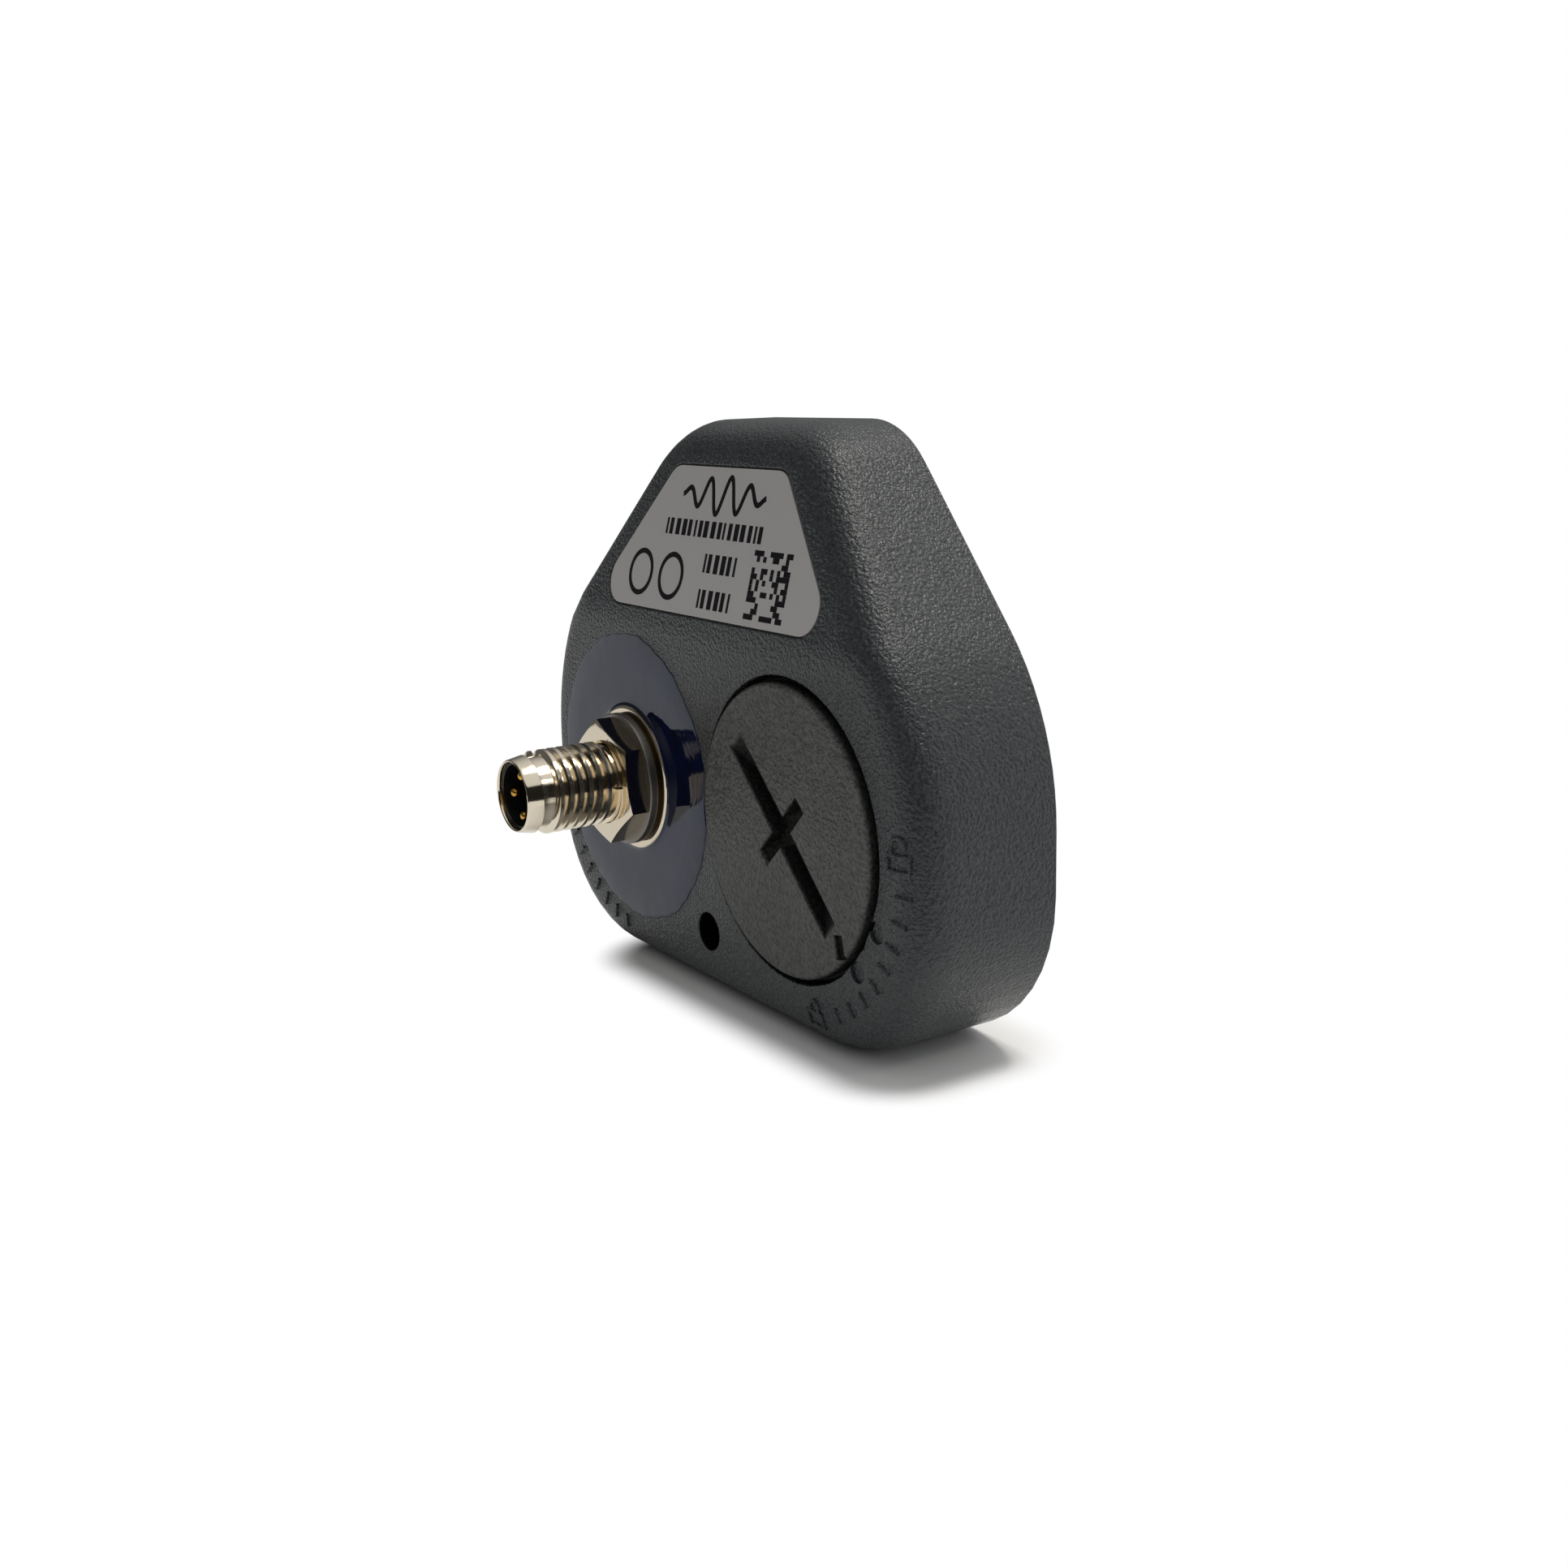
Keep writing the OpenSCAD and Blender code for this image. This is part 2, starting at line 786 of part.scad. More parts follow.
module board_screws() {
    color(nickel)
        for (p = board_screw_places)
            on_face(p[0], p[1]) {
                bar(board_screw_head_r, -board_end - board_screw_head_h, -board_end);
                bar(board_screw_r, -board_end - eps, -board_end + board_screw_l);
            }
}

// Part on the front of the board, by its place and size
module on_board(x, z, w, l, h) {
    on_face(x, z)
        block(w, l, -board_d, -board_d + h);
}

module radio_module() {
    color("#c0c0bc")
        on_board(0, radio_z, radio_w, radio_l, radio_h);
}

module chip_antenna() {
    color("#e8e4d8")
        on_board(0, antenna_z, antenna_w, antenna_l, antenna_h);
}

module microcontroller() {
    color(black)
        on_board(-controller_x, row_z, controller_w, controller_w, controller_h);
}

module accelerometer() {
    color(black)
        on_face(0, mount_z + tube_r + accelerometer_rise)
            block(accelerometer_w, accelerometer_w, -board_end - accelerometer_h, -board_end);
}

module storage_capacitor() {
    color("#b58a2e")
        on_board(capacitor_x, row_z, capacitor_w, capacitor_l, capacitor_h);
}

module crystal() {
    color(nickel)
        on_board(-crystal_x, row_z, crystal_w, crystal_l, crystal_h);
}

front_housing();
rear_cover();
housing_gasket();
rear_screws();
label_plate();
potting_disc();
connector_shell();
connector_insert();
connector_pins();
connector_nut();
lock_washer();
spacer_ring();
flat_washer();
connector_seal();
pin_sleeves();
battery_cover();
cover_seal();
cell_pad();
coin_cell();
negative_contact();
positive_contact();
circuit_board();
board_screws();
radio_module();
chip_antenna();
microcontroller();
accelerometer();
storage_capacitor();
crystal();
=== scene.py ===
# %% [markdown]
# A vibration sensor tag stands on its flat base: a moulded grey housing, a round battery cover with
# a coin slot, and a nickel-plated plug connector that stands in a disc of dark blue cast resin.
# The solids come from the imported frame. This lesson adds what a maker sees up close: soft edges,
# a cut thread, a chamfered nut, grain in the plastic, and light that shows them.

# %% Load the frame
import math
import bmesh
import bpy
from mathutils import Matrix, Vector
from mathutils.bvhtree import BVHTree


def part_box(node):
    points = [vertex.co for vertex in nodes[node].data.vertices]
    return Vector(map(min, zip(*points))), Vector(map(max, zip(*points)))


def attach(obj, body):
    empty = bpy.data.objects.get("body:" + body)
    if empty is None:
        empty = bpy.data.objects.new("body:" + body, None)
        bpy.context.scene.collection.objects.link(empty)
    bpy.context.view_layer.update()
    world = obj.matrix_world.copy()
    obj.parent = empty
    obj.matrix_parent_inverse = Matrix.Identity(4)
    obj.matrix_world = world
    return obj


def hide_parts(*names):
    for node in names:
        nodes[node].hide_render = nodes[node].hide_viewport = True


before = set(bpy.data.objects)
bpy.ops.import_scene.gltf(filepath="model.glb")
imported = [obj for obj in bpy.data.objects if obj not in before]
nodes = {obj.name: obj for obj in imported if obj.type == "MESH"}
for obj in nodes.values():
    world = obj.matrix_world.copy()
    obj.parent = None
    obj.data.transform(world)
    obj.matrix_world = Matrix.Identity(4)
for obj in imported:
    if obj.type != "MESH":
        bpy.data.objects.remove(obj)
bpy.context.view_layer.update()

# %% [markdown]
# Sizes on drawings are in millimetres and the scene is in metres. The front face looks towards -Y,
# so a place on it is a matrix whose local Z stands out of the face. Lathe work and marks are then
# drawn flat, in the numbers a drawing would give, and set into place by that matrix. The label lies
# where the front leans back, so its matrix leans too.

# %% Units and places
MM = 0.001
FRONT_Y = -7.2
WELL_X = 13.5
WELL_Z = 18.7
BEND_Z = 34.4
SLOPE = math.radians(15)


def on_front(x, z, lean=0.0):
    """Place on the front, with local Z out of the face."""
    facing = Matrix.Rotation(math.pi / 2 - lean, 4, "X")
    return Matrix.Translation(Vector((x, FRONT_Y, z)) * MM) @ facing


connector_place = on_front(-WELL_X, WELL_Z)
cover_place = on_front(WELL_X, WELL_Z)
label_place = on_front(0, BEND_Z, SLOPE)
print("connector axis at", connector_place.translation[:], "cover axis at", cover_place.translation[:])

# %% [markdown]
# The camera comes first, because every finish is judged through it. Its place could be found by eye,
# but a fit on the round openings, the label and the connector gives it to a fraction of a degree.
# Azimuth, elevation and roll turn into three axes, which are the columns of the camera's matrix.

# %% Camera
CAMERA = {"aim": (13.476, -7.2, 22.841), "azimuth": 56.96, "elevation": 13.22, "roll": -1.56,
          "distance": 149.05, "lens": 40.45, "sensor": 36, "near": 0.01}
turn, lift, tip = (math.radians(CAMERA[key]) for key in ("azimuth", "elevation", "roll"))
back = Vector((math.sin(turn) * math.cos(lift), -math.cos(turn) * math.cos(lift), math.sin(lift)))
level = back.cross(Vector((0, 0, -1))).normalized()
upright = back.cross(level)
right = level * math.cos(tip) + upright * math.sin(tip)
up = upright * math.cos(tip) - level * math.sin(tip)


def in_scene(name, data):
    """New object in the scene."""
    made = bpy.data.objects.new(name, data)
    bpy.context.scene.collection.objects.link(made)
    return made


camera = in_scene("camera", bpy.data.cameras.new("camera"))
camera.data.sensor_width = CAMERA["sensor"]
camera.data.lens = CAMERA["lens"]
camera.data.clip_start = CAMERA["near"]
camera.matrix_world = Matrix((right, up, back)).transposed().to_4x4()
camera.location = (Vector(CAMERA["aim"]) + back * CAMERA["distance"]) * MM
bpy.context.scene.camera = camera
print("camera at", [round(v, 4) for v in camera.location])

# %% [markdown]
# A finish is a small net of nodes. One helper adds any node, sets it up and links it. One turns a colour
# from a chart, written in sRGB, into the linear numbers that light works with. One gives an empty material.

# %% Nodes and colours
def add(tree, kind, inputs=None, **settings):
    """Adds one node with its settings; a socket given as an input is linked, a value is set."""
    made = tree.nodes.new(kind)
    for key, value in settings.items():
        setattr(made, key, value)
    for socket, value in (inputs or {}).items():
        if isinstance(value, bpy.types.NodeSocket):
            tree.links.new(value, made.inputs[socket])
        else:
            made.inputs[socket].default_value = value
    return made


def srgb(code):
    """Linear colour from a hex code."""
    parts = [int(code[i:i + 2], 16) / 255 for i in (1, 3, 5)]
    return tuple(v / 12.92 if v <= 0.04045 else ((v + 0.055) / 1.055) ** 2.4 for v in parts) + (1.0,)


def blank(name):
    """New material without nodes."""
    made = bpy.data.materials.new(name)
    made.use_nodes = True
    made.node_tree.nodes.clear()
    return made


print("mid grey is", round(srgb("#808080")[0], 4), "in linear light")

# %% [markdown]
# The tag stands on white paper under soft light from above, from the right and from behind, in a room
# that is dark on the left of the camera. One bright lamp would give hard shadows, so most of the light
# is a sky whose level follows its direction. Seen straight by the camera, the sky is plain white.

# %% Sky
BRIGHT_SIDE = (0.35, 0.45, 0.82)
SKY = {"From Min": -0.1, "From Max": 0.9, "To Min": 0.1, "To Max": 0.68}
sky = bpy.data.worlds.new("white_studio")
sky.use_nodes = True
tree = sky.node_tree
tree.nodes.clear()
toward = add(tree, "ShaderNodeTexCoord").outputs["Generated"]
facing = add(tree, "ShaderNodeVectorMath", {0: toward, 1: BRIGHT_SIDE}, operation="DOT_PRODUCT")
soft = add(tree, "ShaderNodeMapRange", {**SKY, "Value": facing.outputs["Value"]},
           interpolation_type="SMOOTHSTEP")
straight = add(tree, "ShaderNodeLightPath").outputs["Is Camera Ray"]
strength = add(tree, "ShaderNodeMapRange", {"Value": straight, "To Min": soft.outputs[0], "To Max": 1.0})
glow = add(tree, "ShaderNodeBackground", {"Color": srgb("#ffffff"), "Strength": strength.outputs[0]})
add(tree, "ShaderNodeOutputWorld", {"Surface": glow.outputs[0]})
bpy.context.scene.world = sky
bpy.context.scene.view_settings.view_transform = "Standard"
print("sky is brightest towards", BRIGHT_SIDE)

# %% [markdown]
# The key is a softbox high behind the tag. It throws the short shadow at the foot towards the camera.
# A small lamp beside it makes the grain of the slanting side sparkle and puts a point of light on every
# crest of the thread, because these mirror it into the lens. A third one draws the edge on the right.

# %% Lamps
LAMPS = {
    "key_softbox": {"place": (0.06, 0.15, 0.60), "size": 0.24, "watts": 1.45, "tint": "#fffaf2"},
    "spark_lamp": {"place": (0.08, 0.21, 0.59), "size": 0.06, "watts": 0.48, "tint": "#fffdf6"},
    "edge_softbox": {"place": (0.34, 0.16, 0.36), "size": 0.08, "watts": 0.12, "tint": "#fffaf2"}}
LAMP_AIM = Vector((0, 0, 0.026))


def lamp(name, place, size, watts, tint):
    """Square soft lamp that faces the middle of the tag."""
    made = in_scene(name, bpy.data.lights.new(name, "AREA"))
    made.data.shape = "SQUARE"
    made.data.size = size
    made.data.energy = watts
    made.data.color = srgb(tint)[:3]
    made.location = place
    made.rotation_euler = (LAMP_AIM - Vector(place)).to_track_quat("-Z", "Y").to_euler()


for name, spec in LAMPS.items():
    lamp(name, **spec)
print("lamps", list(LAMPS))

# %% [markdown]
# The floor is a sheet of white paper. Near the tag it is lit paper, which keeps the shadow. Farther off
# the camera sees it as plain white, as a sheet looks that is lit evenly up to the edge of the picture,
# and metal and resin mirror it at the level of paper in this light. How far is counted from the foot of
# the tag, a long narrow strip.

# %% Paper
FOOT = {"middle": (0.006, 0.0, 0), "half": (0.018, 0.0032, 0)}
SEEN_WHITE = {"From Min": 0.0045, "From Max": 0.0095}
MIRRORED_WHITE = {"From Min": 0.008, "From Max": 0.017}
MIRRORED_LEVEL = 0.74
paper = blank("white_paper")
tree = paper.node_tree
where = add(tree, "ShaderNodeTexCoord").outputs["Object"]
shifted = add(tree, "ShaderNodeVectorMath", {0: where, 1: FOOT["middle"]}, operation="SUBTRACT")
folded = add(tree, "ShaderNodeVectorMath", {0: shifted.outputs[0]}, operation="ABSOLUTE")
beyond = add(tree, "ShaderNodeVectorMath", {0: folded.outputs[0], 1: FOOT["half"]}, operation="SUBTRACT")
beyond = add(tree, "ShaderNodeVectorMath", {0: beyond.outputs[0], 1: (0, 0, 0)}, operation="MAXIMUM")
away = add(tree, "ShaderNodeVectorMath", {0: beyond.outputs[0]}, operation="LENGTH").outputs["Value"]
far = add(tree, "ShaderNodeMapRange", {**SEEN_WHITE, "Value": away}, interpolation_type="SMOOTHSTEP")
far_off = add(tree, "ShaderNodeMapRange", {**MIRRORED_WHITE, "Value": away}, interpolation_type="SMOOTHSTEP")
ray = add(tree, "ShaderNodeLightPath").outputs
straight = add(tree, "ShaderNodeMath", {0: ray["Is Camera Ray"], 1: far.outputs[0]}, operation="MULTIPLY")
mirrored = add(tree, "ShaderNodeMath", {0: ray["Is Glossy Ray"], 1: far_off.outputs[0]}, operation="MULTIPLY")
plain = add(tree, "ShaderNodeMath", {0: straight.outputs[0], 1: mirrored.outputs[0]}, operation="MAXIMUM")
lit = add(tree, "ShaderNodeBsdfDiffuse", {"Color": srgb("#f4f4f4")})
bright = add(tree, "ShaderNodeMapRange", {
    "Value": ray["Is Camera Ray"], "To Min": MIRRORED_LEVEL, "To Max": 1.0})
white = add(tree, "ShaderNodeEmission", {"Color": srgb("#ffffff"), "Strength": bright.outputs[0]})
both = add(tree, "ShaderNodeMixShader", {0: plain.outputs[0], 1: lit.outputs[0], 2: white.outputs[0]})
add(tree, "ShaderNodeOutputMaterial", {"Surface": both.outputs[0]})
print("mirrored paper has level", MIRRORED_LEVEL)

# %% [markdown]
# The sheet itself is one square, wide enough that no view sees its border.

# %% Floor
FLOOR_REACH = 3.0
corners = [(x * FLOOR_REACH, y * FLOOR_REACH, 0) for x, y in ((-1, -1), (1, -1), (1, 1), (-1, 1))]
sheet = bpy.data.meshes.new("floor")
sheet.from_pydata(corners, [], [(0, 1, 2, 3)])
sheet.materials.append(paper)
floor = in_scene("floor", sheet)
print("floor", FLOOR_REACH * 2, "m wide")

# %% [markdown]
# A camera this close stands in its own picture: polished metal shows it as a dark band. A low dark
# screen on the camera's side stands for it. A second cloth leans over the front on the left, where the
# room is dark, so the upper flats of the nut turn dark and the resin shows its own blue in their mirror
# image. Only reflections see the two.

# %% Dark screens
SCREEN_STEPS = 30
SCREENS = {"dark_screen": {"first": 14, "last": 104, "low": (0.09, 0.001), "high": (0.09, 0.085)},
           "dark_canopy": {"first": -62, "last": -12, "low": (0.166, 0.112), "high": (0.094, 0.177)}}
cloth = blank("black_screen_cloth")
dim = add(cloth.node_tree, "ShaderNodeEmission", {"Color": srgb("#1c1b1a"), "Strength": 1.0})
add(cloth.node_tree, "ShaderNodeOutputMaterial", {"Surface": dim.outputs[0]})


def dark_screen(name, first, last, low, high):
    """Cloth round the tag between two azimuths; its edges are pairs of radius and height."""
    rail = []
    for k in range(SCREEN_STEPS + 1):
        a = math.radians(first + (last - first) * k / SCREEN_STEPS)
        rail += [(r * math.sin(a), -r * math.cos(a), z) for r, z in (low, high)]
    band = bpy.data.meshes.new(name)
    band.from_pydata(rail, [], [(2 * k, 2 * k + 2, 2 * k + 3, 2 * k + 1) for k in range(SCREEN_STEPS)])
    band.materials.append(cloth)
    made = in_scene(name, band)
    made.visible_camera = False
    made.visible_diffuse = False
    made.visible_shadow = False
    print(name, "spans", last - first, "degrees")


for name, spec in SCREENS.items():
    dark_screen(name, **spec)

# %% [markdown]
# Most finishes here share one plan: a fine pattern of the real size, which moves the colour between two
# close shades, the roughness between two values, and the surface by some hundredths of a millimetre.
# A maker would read it as "grain". What differs from material to material is the size and the depth.

# %% Plan of a finish
SPREAD = {"From Min": 0.3, "From Max": 0.7}
EVEN = (1, 1, 1)


def finish(name, shades, spot_mm, rough, bump_mm=0.0, metallic=0.0, stretch=EVEN, detail=3.0, shine=0.5):
    """Material with a pattern of spots."""
    made = blank(name)
    tree = made.node_tree
    where = add(tree, "ShaderNodeTexCoord").outputs["Object"]
    where = add(tree, "ShaderNodeMapping", {"Vector": where, "Scale": stretch}).outputs[0]
    spots = add(tree, "ShaderNodeTexNoise", {"Vector": where, "Scale": 1 / (spot_mm * MM), "Detail": detail})
    contrast = add(tree, "ShaderNodeMapRange", {**SPREAD, "Value": spots.outputs["Fac"]}).outputs[0]
    colour = add(tree, "ShaderNodeMix", {"Factor": contrast, 6: srgb(shades[0]), 7: srgb(shades[1])},
                 data_type="RGBA")
    gloss = add(tree, "ShaderNodeMapRange", {"Value": contrast, "To Min": rough[0], "To Max": rough[1]})
    shader = add(tree, "ShaderNodeBsdfPrincipled", {
        "Base Color": colour.outputs[2], "Roughness": gloss.outputs[0],
        "Metallic": metallic, "Specular IOR Level": shine})
    if bump_mm:
        grain = add(tree, "ShaderNodeBump", {"Height": contrast, "Strength": 1.0, "Distance": bump_mm * MM})
        tree.links.new(grain.outputs[0], shader.inputs["Normal"])
    add(tree, "ShaderNodeOutputMaterial", {"Surface": shader.outputs[0]})
    return made


def shader_of(material):
    """Shader of a finish."""
    return material.node_tree.nodes["Principled BSDF"]


def coordinates_of(material):
    """Coordinates that the pattern of a finish reads."""
    return material.node_tree.nodes["Mapping"].outputs[0]


def shaded(material, level):
    """Multiplies the colour of a finish by a level."""
    tree = material.node_tree
    colour = shader_of(material).inputs["Base Color"]
    before = colour.links[0].from_socket
    shade = add(tree, "ShaderNodeVectorMath", {0: before, "Scale": level}, operation="SCALE")
    tree.links.new(shade.outputs[0], colour)


# %% [markdown]
# The housing is moulded in a spark-eroded tool, which leaves a fine leathery grain: rounded bumps of a
# third of a millimetre. It is a matter of relief, not of colour, and each bump is fairly smooth, so the
# grain sparkles where it mirrors the lamp and is almost lost where the light is even. A wide, faint
# pattern gives the slow change of shade that a moulding has along its flow.

# %% Moulded polymers
FLOW_MM = 9
FLOW_SHADES = {"To Min": 0.94, "To Max": 1.05}
SOFT_DETAIL = 2.0


def moulded(name, shades, grain_mm, rough, bump_mm, shine):
    """Grained polymer with a slow change of shade."""
    made = finish(name, shades, grain_mm, rough, bump_mm, detail=SOFT_DETAIL, shine=shine)
    tree = made.node_tree
    flow = add(tree, "ShaderNodeTexNoise", {
        "Vector": coordinates_of(made), "Scale": 1 / (FLOW_MM * MM), "Detail": SOFT_DETAIL})
    change = add(tree, "ShaderNodeMapRange", {**SPREAD, **FLOW_SHADES, "Value": flow.outputs["Fac"]})
    shaded(made, change.outputs[0])
    return made


# Housing: a hard polymer, cool dark grey, with bumps smooth enough to glint.
moulded_grey = moulded("moulded_grey_polymer", ("#272a2d", "#404345"), 0.29, (0.2, 0.3), 0.075, 0.4)
# Battery cover: a softer grade from another tool, a warmer grey that scatters more and glints less.
cover_grey = moulded("matte_grey_polymer", ("#353635", "#5e5f5d"), 0.34, (0.34, 0.46), 0.09, 0.32)
print("polymers", moulded_grey.name, cover_grey.name)

# %% [markdown]
# Light hardly reaches the deep places of the moulding, so shade is painted into them: the mounting hole and
# the coin slot are painted dull and almost black inside, and so is the gap round the cover. The hole is found
# by the distance from its axis, and the slot and the gap by the depth below the face of the cover.

# %% Painted shade in deep places
# Painted shade: 'dark' is the share of colour and sheen left deep in the hole and in the slot.
HOLE_SHADE = {"axis": (0, 0, 6.3 * MM), "wall": 1.76 * MM, "rim": 1.95 * MM, "dark": 0.06}
cover_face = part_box("battery_cover")[0][1]
SLOT_SHADE = {"edge": cover_face + 0.05 * MM, "deep": cover_face + 0.3 * MM, "dark": 0.23}


def painted_shade(material, level):
    """Paints shade into a finish: lowers its colour and its sheen by a level, which is 1 on its open faces.
    """
    shaded(material, level)
    sheen = shader_of(material).inputs["Specular IOR Level"]
    lowered = add(material.node_tree, "ShaderNodeMapRange", {"Value": level, "To Max": sheen.default_value})
    material.node_tree.links.new(lowered.outputs[0], sheen)


# Painted shade inside the mounting hole: colour and sheen fall towards its wall, by the distance from its
# axis.
tree = moulded_grey.node_tree
beside = add(tree, "ShaderNodeVectorMath", {0: coordinates_of(moulded_grey), 1: HOLE_SHADE["axis"]},
             operation="SUBTRACT")
beside = add(tree, "ShaderNodeVectorMath", {0: beside.outputs[0], 1: (1, 0, 1)}, operation="MULTIPLY")
beside = add(tree, "ShaderNodeVectorMath", {0: beside.outputs[0]}, operation="LENGTH")
level = add(tree, "ShaderNodeMapRange", {
    "Value": beside.outputs["Value"], "From Min": HOLE_SHADE["wall"], "From Max": HOLE_SHADE["rim"],
    "To Min": HOLE_SHADE["dark"], "To Max": 1.0})
painted_shade(moulded_grey, level.outputs[0])
# Painted shade in the coin slot and the gap round the cover: colour and sheen fall with the depth below the
# cover's face.
tree = cover_grey.node_tree
depth = add(tree, "ShaderNodeSeparateXYZ", {0: coordinates_of(cover_grey)}).outputs["Y"]
level = add(tree, "ShaderNodeMapRange", {
    "Value": depth, "From Min": SLOT_SHADE["edge"], "From Max": SLOT_SHADE["deep"],
    "To Min": 1.0, "To Max": SLOT_SHADE["dark"]})
painted_shade(cover_grey, level.outputs[0])
print("dull inside the hole and the slot")

# %% [markdown]
# The other polymers are plain, with a pattern that is only just there. The insert is seen between the
# pins. The seals, the pad and the sleeves come to light when the tag is opened.

# %% Black polymers, rubber and foam
# Insert of the connector: nearly black and dull, so that the gilt pins stand out.
black_polymer = finish("black_polymer", ("#0c0c0d", "#141415"), 0.4, (0.4, 0.55), 0.006)
# Seals: rubber, black and without gloss.
black_rubber = finish("black_rubber", ("#0d0d0d", "#171717"), 0.3, (0.6, 0.75), 0.008)
# Pad under the cover: closed-cell foam, which shows its cells as pits.
closed_foam = finish("closed_cell_foam", ("#1d1d20", "#2a2a2e"), 0.25, (0.8, 0.95), 0.05)
# Sleeves on the pins: shrunk tubing, a smooth dull red.
red_sleeve = finish("red_insulating_sleeve", ("#8e2a26", "#a63731"), 0.6, (0.4, 0.5), 0.004)
print("dark polymers", black_polymer.name, black_rubber.name)

# %% [markdown]
# The connector is brass with a bright nickel plating, a warm silver. Turned metal carries fine tool
# marks, so its pattern is stretched round the axis. Real marks are finer still, and are drawn as coarse
# as they need to be to show.

# %% Metals
TURNED = (1, 6, 1)
ROLLED = (5, 1, 1)
DRAWN = (6, 1, 1)


def metal(name, shades, mark_mm, rough, relief_mm, marks=EVEN):
    """Metal whose tool marks have a size and a direction."""
    return finish(name, shades, mark_mm, rough, relief_mm, 1.0, marks)


# Nut and flange: bright nickel over brass, which mirrors the room with a warm tone.
nickel_plate = metal("bright_nickel_plate", ("#dccfb7", "#e8dcc7"), 0.15, (0.08, 0.16), 0.001, TURNED)
# Shell and thread: the same plating, a little smoother, in a copy painted brighter to stand for the brighter
# light that the shell mirrors.
brighter_painted_nickel = metal("brighter_painted_nickel_plate", ("#ece0c9", "#f5ead6"), 0.15, (0.07, 0.14), 0.001, TURNED)
# Washer under the nut: barrel-plated, so its mirror is soft and grey.
satin_nickel = metal("satin_nickel_plate", ("#85827c", "#959189"), 0.12, (0.42, 0.52), 0.002, TURNED)
# Spacer ring: brass in a very dark brown.
dull_brass = metal("dull_brass", ("#33291a", "#4a3c24"), 0.2, (0.4, 0.55), 0.002)
# Pins and contacts of the cell: gold over nickel, deep yellow and smooth.
gold_plate = metal("gold_plate", ("#c9963a", "#e2b658"), 0.1, (0.15, 0.25), 0.0)
# Screws: stainless steel, a cool grey with fine marks.
screw_steel = metal("stainless_steel", ("#a8a8a6", "#bcbcba"), 0.1, (0.22, 0.36), 0.002, DRAWN)
# Cell and shields: tinned sheet with the marks of its rolling.
tinned_steel = metal("tinned_steel", ("#b4b4b0", "#c6c6c2"), 0.2, (0.25, 0.4), 0.002, ROLLED)
print("metals", nickel_plate.name, gold_plate.name, dull_brass.name)

# %% [markdown]
# The potting is cast epoxy with a dark blue dye: almost black by itself and as smooth as glass, so what
# it shows is mainly the white paper in front of it. The label is a silver-grey polyester film. The
# board, the chips and the capacitor are inside, and get their own plain finishes.

# %% Resin, film and inner parts
EPOXY_IOR = 1.48
FILM_METAL = 0.25
BRUSHED = (1, 8, 8)
INK_SHINE = 0.15
# Potting: cast epoxy, which waves slowly over some millimetres and mirrors with a blue tone.
navy_resin = finish("navy_cast_resin", ("#070c20", "#0b1434"), 4.0, (0.03, 0.06), 0.02)
shader_of(navy_resin).inputs["IOR"].default_value = EPOXY_IOR
shader_of(navy_resin).inputs["Specular Tint"].default_value = srgb("#e4efff")
# Label: polyester film with a silver back, which shines a little like metal.
silver_film = finish("silver_polyester_film", ("#bfbdbc", "#c8c6c4"), 0.08, (0.36, 0.46), 0.001,
                     FILM_METAL, BRUSHED)
# Print: thermal-transfer ink, black and dull.
printing_ink = finish("black_printing_ink", ("#0d0d13", "#131319"), 0.1, (0.5, 0.65), shine=INK_SHINE)
# Board: glass-epoxy under a green solder mask with a low gloss.
green_mask = finish("green_solder_mask", ("#123f24", "#1a5230"), 0.3, (0.25, 0.4), 0.004)
# Antenna: fired ceramic, an off-white with a fine grit.
white_ceramic = finish("white_ceramic", ("#cfcabc", "#dcd8cc"), 0.1, (0.4, 0.5), 0.002)
# Capacitor: moulded epoxy case in amber.
amber_case = finish("amber_moulded_case", ("#a87420", "#bb862e"), 0.3, (0.35, 0.5), 0.003)
print("resin", navy_resin.name, "film", silver_film.name)

# %% [markdown]
# Every CAD solid gets a finish, also those inside, because the real tag can be opened.

# %% Finishes of the solids
FINISH_OF = {
    "front_housing": moulded_grey, "rear_cover": moulded_grey, "housing_gasket": black_rubber,
    "rear_screws": screw_steel, "label_plate": silver_film, "potting_disc": navy_resin,
    "connector_shell": brighter_painted_nickel, "connector_insert": black_polymer, "connector_pins": gold_plate,
    "connector_nut": nickel_plate, "lock_washer": satin_nickel, "spacer_ring": dull_brass,
    "flat_washer": nickel_plate, "connector_seal": black_rubber, "pin_sleeves": red_sleeve,
    "battery_cover": cover_grey, "cover_seal": black_rubber, "cell_pad": closed_foam,
    "coin_cell": tinned_steel, "negative_contact": gold_plate, "positive_contact": gold_plate,
    "circuit_board": green_mask, "board_screws": screw_steel, "radio_module": tinned_steel,
    "chip_antenna": white_ceramic, "microcontroller": black_polymer, "accelerometer": black_polymer,
    "storage_capacitor": amber_case, "crystal": tinned_steel}
for name, solid in nodes.items():
    solid.data.materials.clear()
    solid.data.materials.append(FINISH_OF[name])
print("finishes on", len(FINISH_OF), "solids")

# %% [markdown]
# A piece made here takes its place in the frame by two facts: the body that carries it, and the solid it
# stands for. Curved faces are shaded smooth and true edges stay sharp.

# %% Hand a mesh to the frame
def piece(name, mesh, material, body, slot, *stands_for, sharp=35):
    """Puts a finished mesh in the scene as a piece of the object."""
    mesh.materials.clear()
    mesh.materials.append(material)
    mesh.shade_smooth()
    mesh.set_sharp_from_angle(angle=math.radians(sharp))
    made = in_scene(name, mesh)
    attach(made, body)
    if stands_for:
        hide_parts(*stands_for)
    print(name, len(mesh.polygons), "faces for", stands_for or "itself")
    return made


